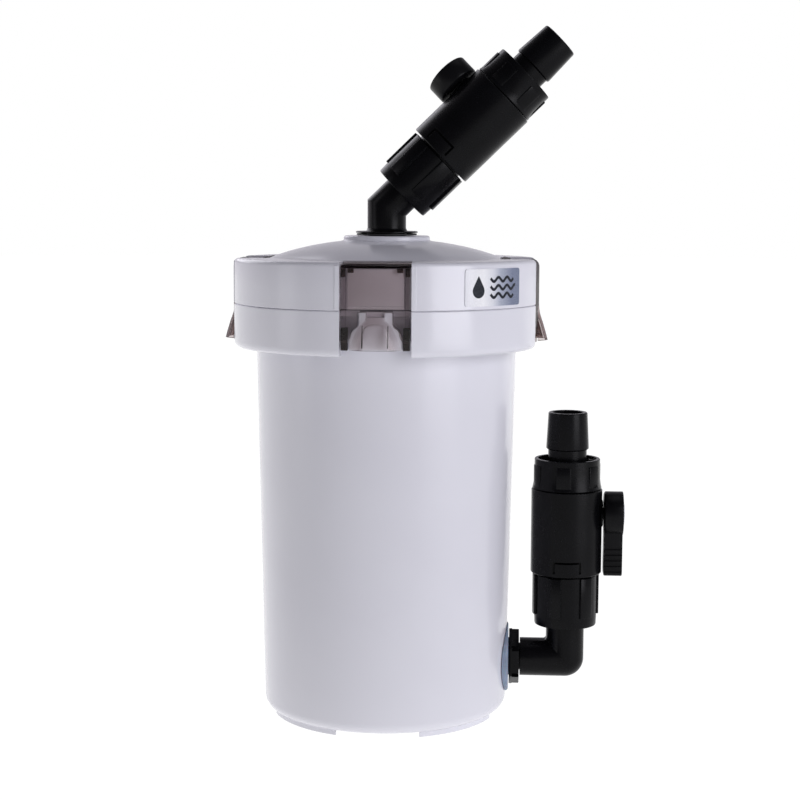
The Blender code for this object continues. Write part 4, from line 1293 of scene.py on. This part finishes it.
def inlet_web():
    """Moulded fillet in the inner corner of the elbow."""
    corner_x, corner_z, radius = INLET_VALVE_X - TUBE_R + 0.6, INLET_Z + TUBE_R - 0.6, 2.4
    outline = [(corner_x + 1.5, corner_z - 1.5)]
    for k in range(7):
        t = radians(15 * k)
        x = corner_x - radius + radius * sin(t)
        outline.append((x, corner_z + radius - radius * cos(t)))
    return slab("web", outline, -2.6, 2.6, BACKWARD)


def make_inlet_elbow():
    valve, centre = (INLET_VALVE_X, 0, 0), (0, 0, INLET_Z)
    top = INLET_NUT_Z + NUT_OVERLAP
    elbow = rod("elbow", TUBE_R, 58.6, INLET_VALVE_X, MID, "X", centre)
    upright = rod("upright", TUBE_R - 0.02, INLET_Z, top, MID, centre=valve)
    # the outer corner is part of a ball a little smaller than the tube
    shape = bmesh.new()
    bmesh.ops.create_uvsphere(
        shape,
        u_segments=MID,
        v_segments=MID // 2,
        radius=(TUBE_R - 0.01) * MM,
        matrix=at(INLET_VALVE_X, 0, INLET_Z),
    )
    join(elbow, upright, from_bmesh("corner", shape))
    join(elbow, inlet_web())
    spigot = shifted(lathe("spigot", INLET_SPIGOT, LOW, "X"), *centre)
    flange = rod(
        "end_flange", END_FLANGE_R, top - END_FLANGE_H, top, MID, centre=valve, edge=0.3
    )
    join(elbow, spigot, flange)
    bore = [(60.5, 0, INLET_Z), (INLET_VALVE_X - 3, 0, INLET_Z)]
    bore += [(INLET_VALVE_X, 0, INLET_Z + 3), (INLET_VALVE_X, 0, 60)]
    cut(
        elbow,
        rod("spigot_bore", 4.2, 45, 66, LOW, "X", centre),
        bent_tube("bore", bore, BORE_R, LOW),
    )
    finished(elbow, "inlet_elbow_look", BLACK, "inlet_bend", "inlet_elbow")


# -------------------------------------------------------------------- baskets
BASKET_PROFILE = [  # radius, z
    (0, 2.0), (46.7, 2.0), (47.2, 2.5), (47.8, BASKET_H), (49.8, BASKET_H),
    (50.0, BASKET_H - 0.2), (50.0, BASKET_H - 2.3), (49.8, BASKET_H - 2.5),
    (49.2, BASKET_H - 2.5), (48.8, 0.5), (48.3, 0), (0, 0),
]
BAIL_Y = -9.0
BAIL_Z = COVER_Z + 4.6


def basket():
    """A basket with eight side windows and eight floor slots."""
    shell = lathe("basket", BASKET_PROFILE, MID)
    for k in range(4):
        turn = radians(45 * k + 22.5)
        cut(shell, box("window", (-3.2, -60, 9), (3.2, 60, BASKET_H - 9), turn, edge=0.8))
    slot = box("slots", (12, -2.2, -5), (41, 2.2, 6), edge=0.6)
    return cut(shell, copies(slot, [radians(45 * k) for k in range(8)]))


def basket_legs():
    ring = tube("legs", 46.4, 44.4, 4.95 - LOWER_BASKET_Z, 1.0, MID)
    return cut(
        ring,
        box("gap_x", (-60, -25, -40), (60, 25, 10)),
        box("gap_y", (-25, -60, -40), (25, 60, 10)),
    )


def make_basket_cover():
    top = COVER_Z
    cover = rod("cover", 49.2, top, top + 2, MID, edge=0.4)
    slot = box("slots", (14, -2.2, top - 5), (43, 2.2, top + 5))
    cut(cover, copies(slot, [radians(36 * k + 18) for k in range(10)]))
    for side in (-1, 1):
        low, high = span(side, 20.4, 22.8)
        join(cover, box("lug", (low, -11.6, top + 0.8), (high, -6.4, top + 7.2), edge=0.7))
    cut(cover, rod("lug_hole", 1.95, -30, 30, 24, "X", (0, BAIL_Y, BAIL_Z)))
    finished(cover, "basket_cover_look", BASKET, "canister", "basket_cover")


def make_baskets():
    for side, legs in (("lower", True), ("upper", False)):
        shell = basket()
        if legs:
            join(shell, basket_legs())
        shifted(shell, 0, 0, LOWER_BASKET_Z if legs else UPPER_BASKET_Z)
        node = f"{side}_media_basket"
        finished(shell, f"{side}_basket_look", BASKET, "canister", node)
    make_basket_cover()

    # the handle lies flat, towards the back; x and y of its left half
    half = [(-24.2, BAIL_Y), (-18.4, BAIL_Y), (-18.4, BAIL_Y + 17.5)]
    path = [(x, y, BAIL_Z) for x, y in mirrored(half)]
    handle = bent_tube("handle", path, 1.5, 20)
    finished(
        handle, "basket_bail_look", BASKET, "basket_bail", "basket_handle"
    )


# ----------------------------------------------------------------- soft media
MEDIA_FLOOR = 2.4  # above the underside of a basket
MEDIA_R = 46.6


def soft_disc(name, radius, low, high, edge):
    """A closed cushion-like disc on an even grid, so that it can be moved."""
    rings, layers = 22, 7
    flat = radius - edge
    corners = [radians(22.5 * k) for k in range(5)]
    steps_out = [flat * k / rings for k in range(rings + 1)]
    profile = [(across, high) for across in steps_out]
    profile += [(flat + edge * sin(t), high - edge + edge * cos(t)) for t in corners[1:]]
    profile += [
        (radius, high - edge - (high - low - 2 * edge) * k / layers) for k in range(1, layers)
    ]
    profile += [(flat + edge * cos(t), low + edge - edge * sin(t)) for t in corners[:-1]]
    profile += [(across, low) for across in reversed(steps_out)]
    return lathe(name, profile, 88)


def swell(obj, pressure, cap):
    """Short cloth run that fills a bag out, each point's travel capped in mm."""
    start = [vert.co.copy() for vert in obj.data.vertices]
    cloth = obj.modifiers.new("Cloth", "CLOTH")
    cloth.settings.use_pressure = True
    cloth.settings.uniform_pressure_force = pressure
    cloth.settings.effector_weights.gravity = 0
    cloth.settings.tension_stiffness = 12
    cloth.settings.compression_stiffness = 12
    cloth.settings.quality = 5
    cloth.point_cache.frame_start = 1
    cloth.point_cache.frame_end = 14
    scene = bpy.context.scene
    for number in range(1, 15):
        scene.frame_set(number)
    graph = bpy.context.evaluated_depsgraph_get()
    swollen = obj.evaluated_get(graph)
    ends = [vert.co.copy() for vert in swollen.data.vertices]
    obj.modifiers.clear()
    scene.frame_set(1)
    for vert, before, after in zip(obj.data.vertices, start, ends):
        move = after - before
        if move.length > cap * MM:
            move = move.normalized() * cap * MM
        vert.co = before + move


def knead(obj, amount, scale, seed, radius, low, high):
    """Lumps pushed out along each point's direction, kept inside the space."""
    verts = obj.data.vertices
    normals = [vert.normal.copy() for vert in verts]
    for vert, normal in zip(verts, normals):
        shift = noise.fractal(vert.co * scale + Vector((seed, 0, 0)), 0.8, 2.0, 3)
        vert.co = vert.co + normal * shift * amount * MM
        across = hypot(vert.co.x, vert.co.y)
        if across > radius * MM:
            vert.co.x *= radius * MM / across
            vert.co.y *= radius * MM / across
        vert.co.z = min(max(vert.co.z, low * MM), high * MM)


def net_bag(name, low, high, seed, scale, amount):
    obj = soft_disc(name, 43.6, low + 2.0, high - 2.4, edge=8.0)
    swell(obj, pressure=3.0, cap=4.0)
    knead(obj, amount, scale, seed, 46.0, low, high)
    return obj


def add_media(obj, name, finish, node):
    finished(obj, name, finish, "canister", node, angle=80)


def make_media():
    base = LOWER_BASKET_Z + MEDIA_FLOOR
    low, high = base, base + 27
    coarse = soft_disc("sponge", 46.2, low + 0.2, high - 0.3, edge=1.6)
    knead(coarse, amount=0.9, scale=160, seed=3.1, radius=MEDIA_R, low=low, high=high)
    add_media(coarse, "coarse_sponge_look", SPONGE, "coarse_sponge")
    rings = net_bag("rings", base + 27.6, base + 61, seed=7.7, scale=150, amount=2.2)
    add_media(rings, "ceramic_bag_look", CERAMIC, "ceramic_ring_bag")

    base = UPPER_BASKET_Z + MEDIA_FLOOR
    grains = net_bag("grains", base, base + 34, seed=12.3, scale=330, amount=1.2)
    add_media(grains, "carbon_bag_look", CARBON, "activated_carbon_bag")
    low, high = base + 34.6, base + 61
    floss = soft_disc("floss", 45.9, low + 0.4, high - 0.8, edge=5.0)
    knead(floss, amount=2.0, scale=70, seed=21.9, radius=MEDIA_R, low=low, high=high)
    add_media(floss, "fine_floss_look", FLOSS, "fine_floss_pad")


# --------------------------------------------------- CAD nodes that stay shown
def paint(finish, *names):
    for name in names:
        slots = NODES[name].material_slots
        if slots:
            for one in slots:
                one.material = finish
        else:
            NODES[name].data.materials.append(finish)


def paint_frame():
    paint(BLACK, "outlet_lock_nut", "inlet_bulkhead")
    paint(RUBBER, "inlet_swivel_seal")
    for side in ("outlet", "inlet"):
        paint(BALL, f"{side}_ball")
        paint(BLACK, f"{side}_stem")
        paint(RUBBER, f"{side}_union_washer", f"{side}_stem_seal")
        paint(PTFE, f"{side}_lower_seat", f"{side}_upper_seat")


# ------------------------------------------------------ floor, light, camera
# Places and sizes in this section are in metres.
LAMP_TINT = (0.99, 0.985, 1.045)
LAMPS = (  # name, place, width, height, power in watts
    ("key_right", (0.95, -0.75, 0.42), 0.7, 1.0, 8.2),
    ("fill_left", (-1.1, -0.35, 0.35), 0.35, 1.0, 1.0),
    ("rim_back", (-0.75, 0.9, 0.75), 0.9, 0.7, 3.5),
    ("top_soft", (0.15, 0.1, 1.3), 0.7, 0.7, 0.7),
)
LAMP_AIM = (0, 0, 0.11)


def floor_look():
    """Pale floor with an even glow for the camera and a shaped one for light."""
    look = Look("stage_floor", (0.86, 0.86, 0.87))
    cloud = look.noise(scale=3, detail=2)
    look.surface(look.mottle(cloud, (0.85, 0.85, 0.86), (0.87, 0.87, 0.88)), rough=0.6)
    glow = look.add("ShaderNodeEmission", {"Color": (1, 1, 1), "Strength": 1.12})
    seen = look.add("ShaderNodeLightPath").outputs["Is Camera Ray"]
    where = look.add("ShaderNodeSeparateXYZ", {"Vector": look.place})
    # glow that grows towards the back and left
    slant = look.calculate("MULTIPLY_ADD", where.outputs["X"], -0.7, where.outputs["Y"])
    beyond = look.spread(slant, start=0.05, end=0.40, low=0.48, high=1.1)
    # glow round the foot of the filter, stronger on its left
    span_node = look.add("ShaderNodeVectorMath", {0: look.place}, operation="LENGTH")
    near = look.spread(span_node.outputs["Value"], start=0.07, end=0.30, low=0.55, high=0.0)
    leftward = look.spread(where.outputs["X"], start=-0.12, end=0.10, low=1.0, high=0.25)
    total = look.calculate("ADD", beyond, look.calculate("MULTIPLY", near, leftward))
    camera_share = 0.9
    share = look.add("ShaderNodeMix", {0: seen, 2: total, 3: camera_share}, data_type="FLOAT")
    both = look.mix_shaders(share.outputs[0], look.shader.outputs[0], glow.outputs[0])
    look.feed(look.out.inputs["Surface"], both)
    return look.made


def make_floor():
    shape = bmesh.new()
    bmesh.ops.create_circle(shape, cap_ends=True, segments=96, radius=6.0)
    floor = from_bmesh("floor", shape)
    floor.data.transform(Matrix.Translation((0, 0, CAD_BOX[0][2] - 0.00002)))
    # a single flat face may come out facing down
    if floor.data.polygons[0].normal.z < 0:
        floor.data.flip_normals()
    WORK.objects.unlink(floor)
    bpy.context.scene.collection.objects.link(floor)
    floor.data.materials.append(floor_look())


def make_world():
    """White to the camera; otherwise brighter to the back, and dimmer above."""
    world = bpy.data.worlds.new("studio")
    sky = Tree(world)
    back = sky.tree.nodes["Background"]
    place = sky.add("ShaderNodeTexCoord").outputs["Generated"]
    where = sky.add("ShaderNodeSeparateXYZ", {"Vector": place}).outputs
    depth = sky.spread(
        where["Y"], start=-0.5, end=0.7, low=0.16, high=0.95, interpolation_type="SMOOTHSTEP"
    )
    rise = sky.spread(where["Z"], start=-0.1, end=0.9, low=1.0, high=0.10)
    sky.feed(back.inputs["Strength"], sky.calculate("MULTIPLY", depth, rise))
    side = sky.spread(where["X"], start=-0.7, end=0.5)
    tint = sky.blend(side, (1.01, 0.955, 1.05), (0.85, 0.845, 0.90))
    sky.feed(back.inputs["Color"], tint)
    bright = sky.add("ShaderNodeBackground", {"Color": (1, 1, 1), "Strength": 1.0})
    seen = sky.add("ShaderNodeLightPath").outputs["Is Camera Ray"]
    both = sky.mix_shaders(seen, back.outputs[0], bright.outputs[0])
    sky.feed(sky.tree.nodes["World Output"].inputs["Surface"], both)
    bpy.context.scene.world = world


def make_lamps():
    for name, place, width, height, power in LAMPS:
        light = bpy.data.lights.new(name, "AREA")
        light.shape = "RECTANGLE"
        light.size = width
        light.size_y = height
        light.energy = power
        light.color = LAMP_TINT
        obj = bpy.data.objects.new(name, light)
        bpy.context.scene.collection.objects.link(obj)
        obj.location = place
        aim = Vector(LAMP_AIM) - Vector(place)
        obj.rotation_euler = aim.to_track_quat("-Z", "Y").to_euler()


def set_view():
    view = bpy.context.scene.view_settings
    view.view_transform = "Standard"
    view.look = "None"
    view.exposure = 0.0
    view.gamma = 1.0


def make_camera():
    pitch, roll = 0.1149, 0.004  # radians, pitch downwards
    data = bpy.data.cameras.new("photo_view")
    data.lens = 78.5
    data.sensor_width = 36.0
    data.clip_start, data.clip_end = 0.05, 50
    camera = bpy.data.objects.new("photo_view", data)
    bpy.context.scene.collection.objects.link(camera)
    azimuth = Matrix.Rotation(radians(3.6), 4, "Z")
    place = azimuth @ Vector((0.00591, -0.746, 0.2208 - FOOT_H * MM))
    turn = (
        azimuth
        @ Matrix.Rotation(radians(90) - pitch, 4, "X")
        @ Matrix.Rotation(roll, 4, "Z")
    )
    camera.matrix_world = Matrix.Translation(place) @ turn
    bpy.context.scene.camera = camera


make_canister()
make_lid()
make_latches()
make_plate()
make_valves()
make_outlet()
make_inlet_gasket()
make_bulkhead_nut()
make_inlet_elbow()
make_baskets()
make_media()
paint_frame()
make_floor()
make_world()
make_lamps()
set_view()
make_camera()

for left_over in list(WORK.objects):
    bpy.data.objects.remove(left_over)
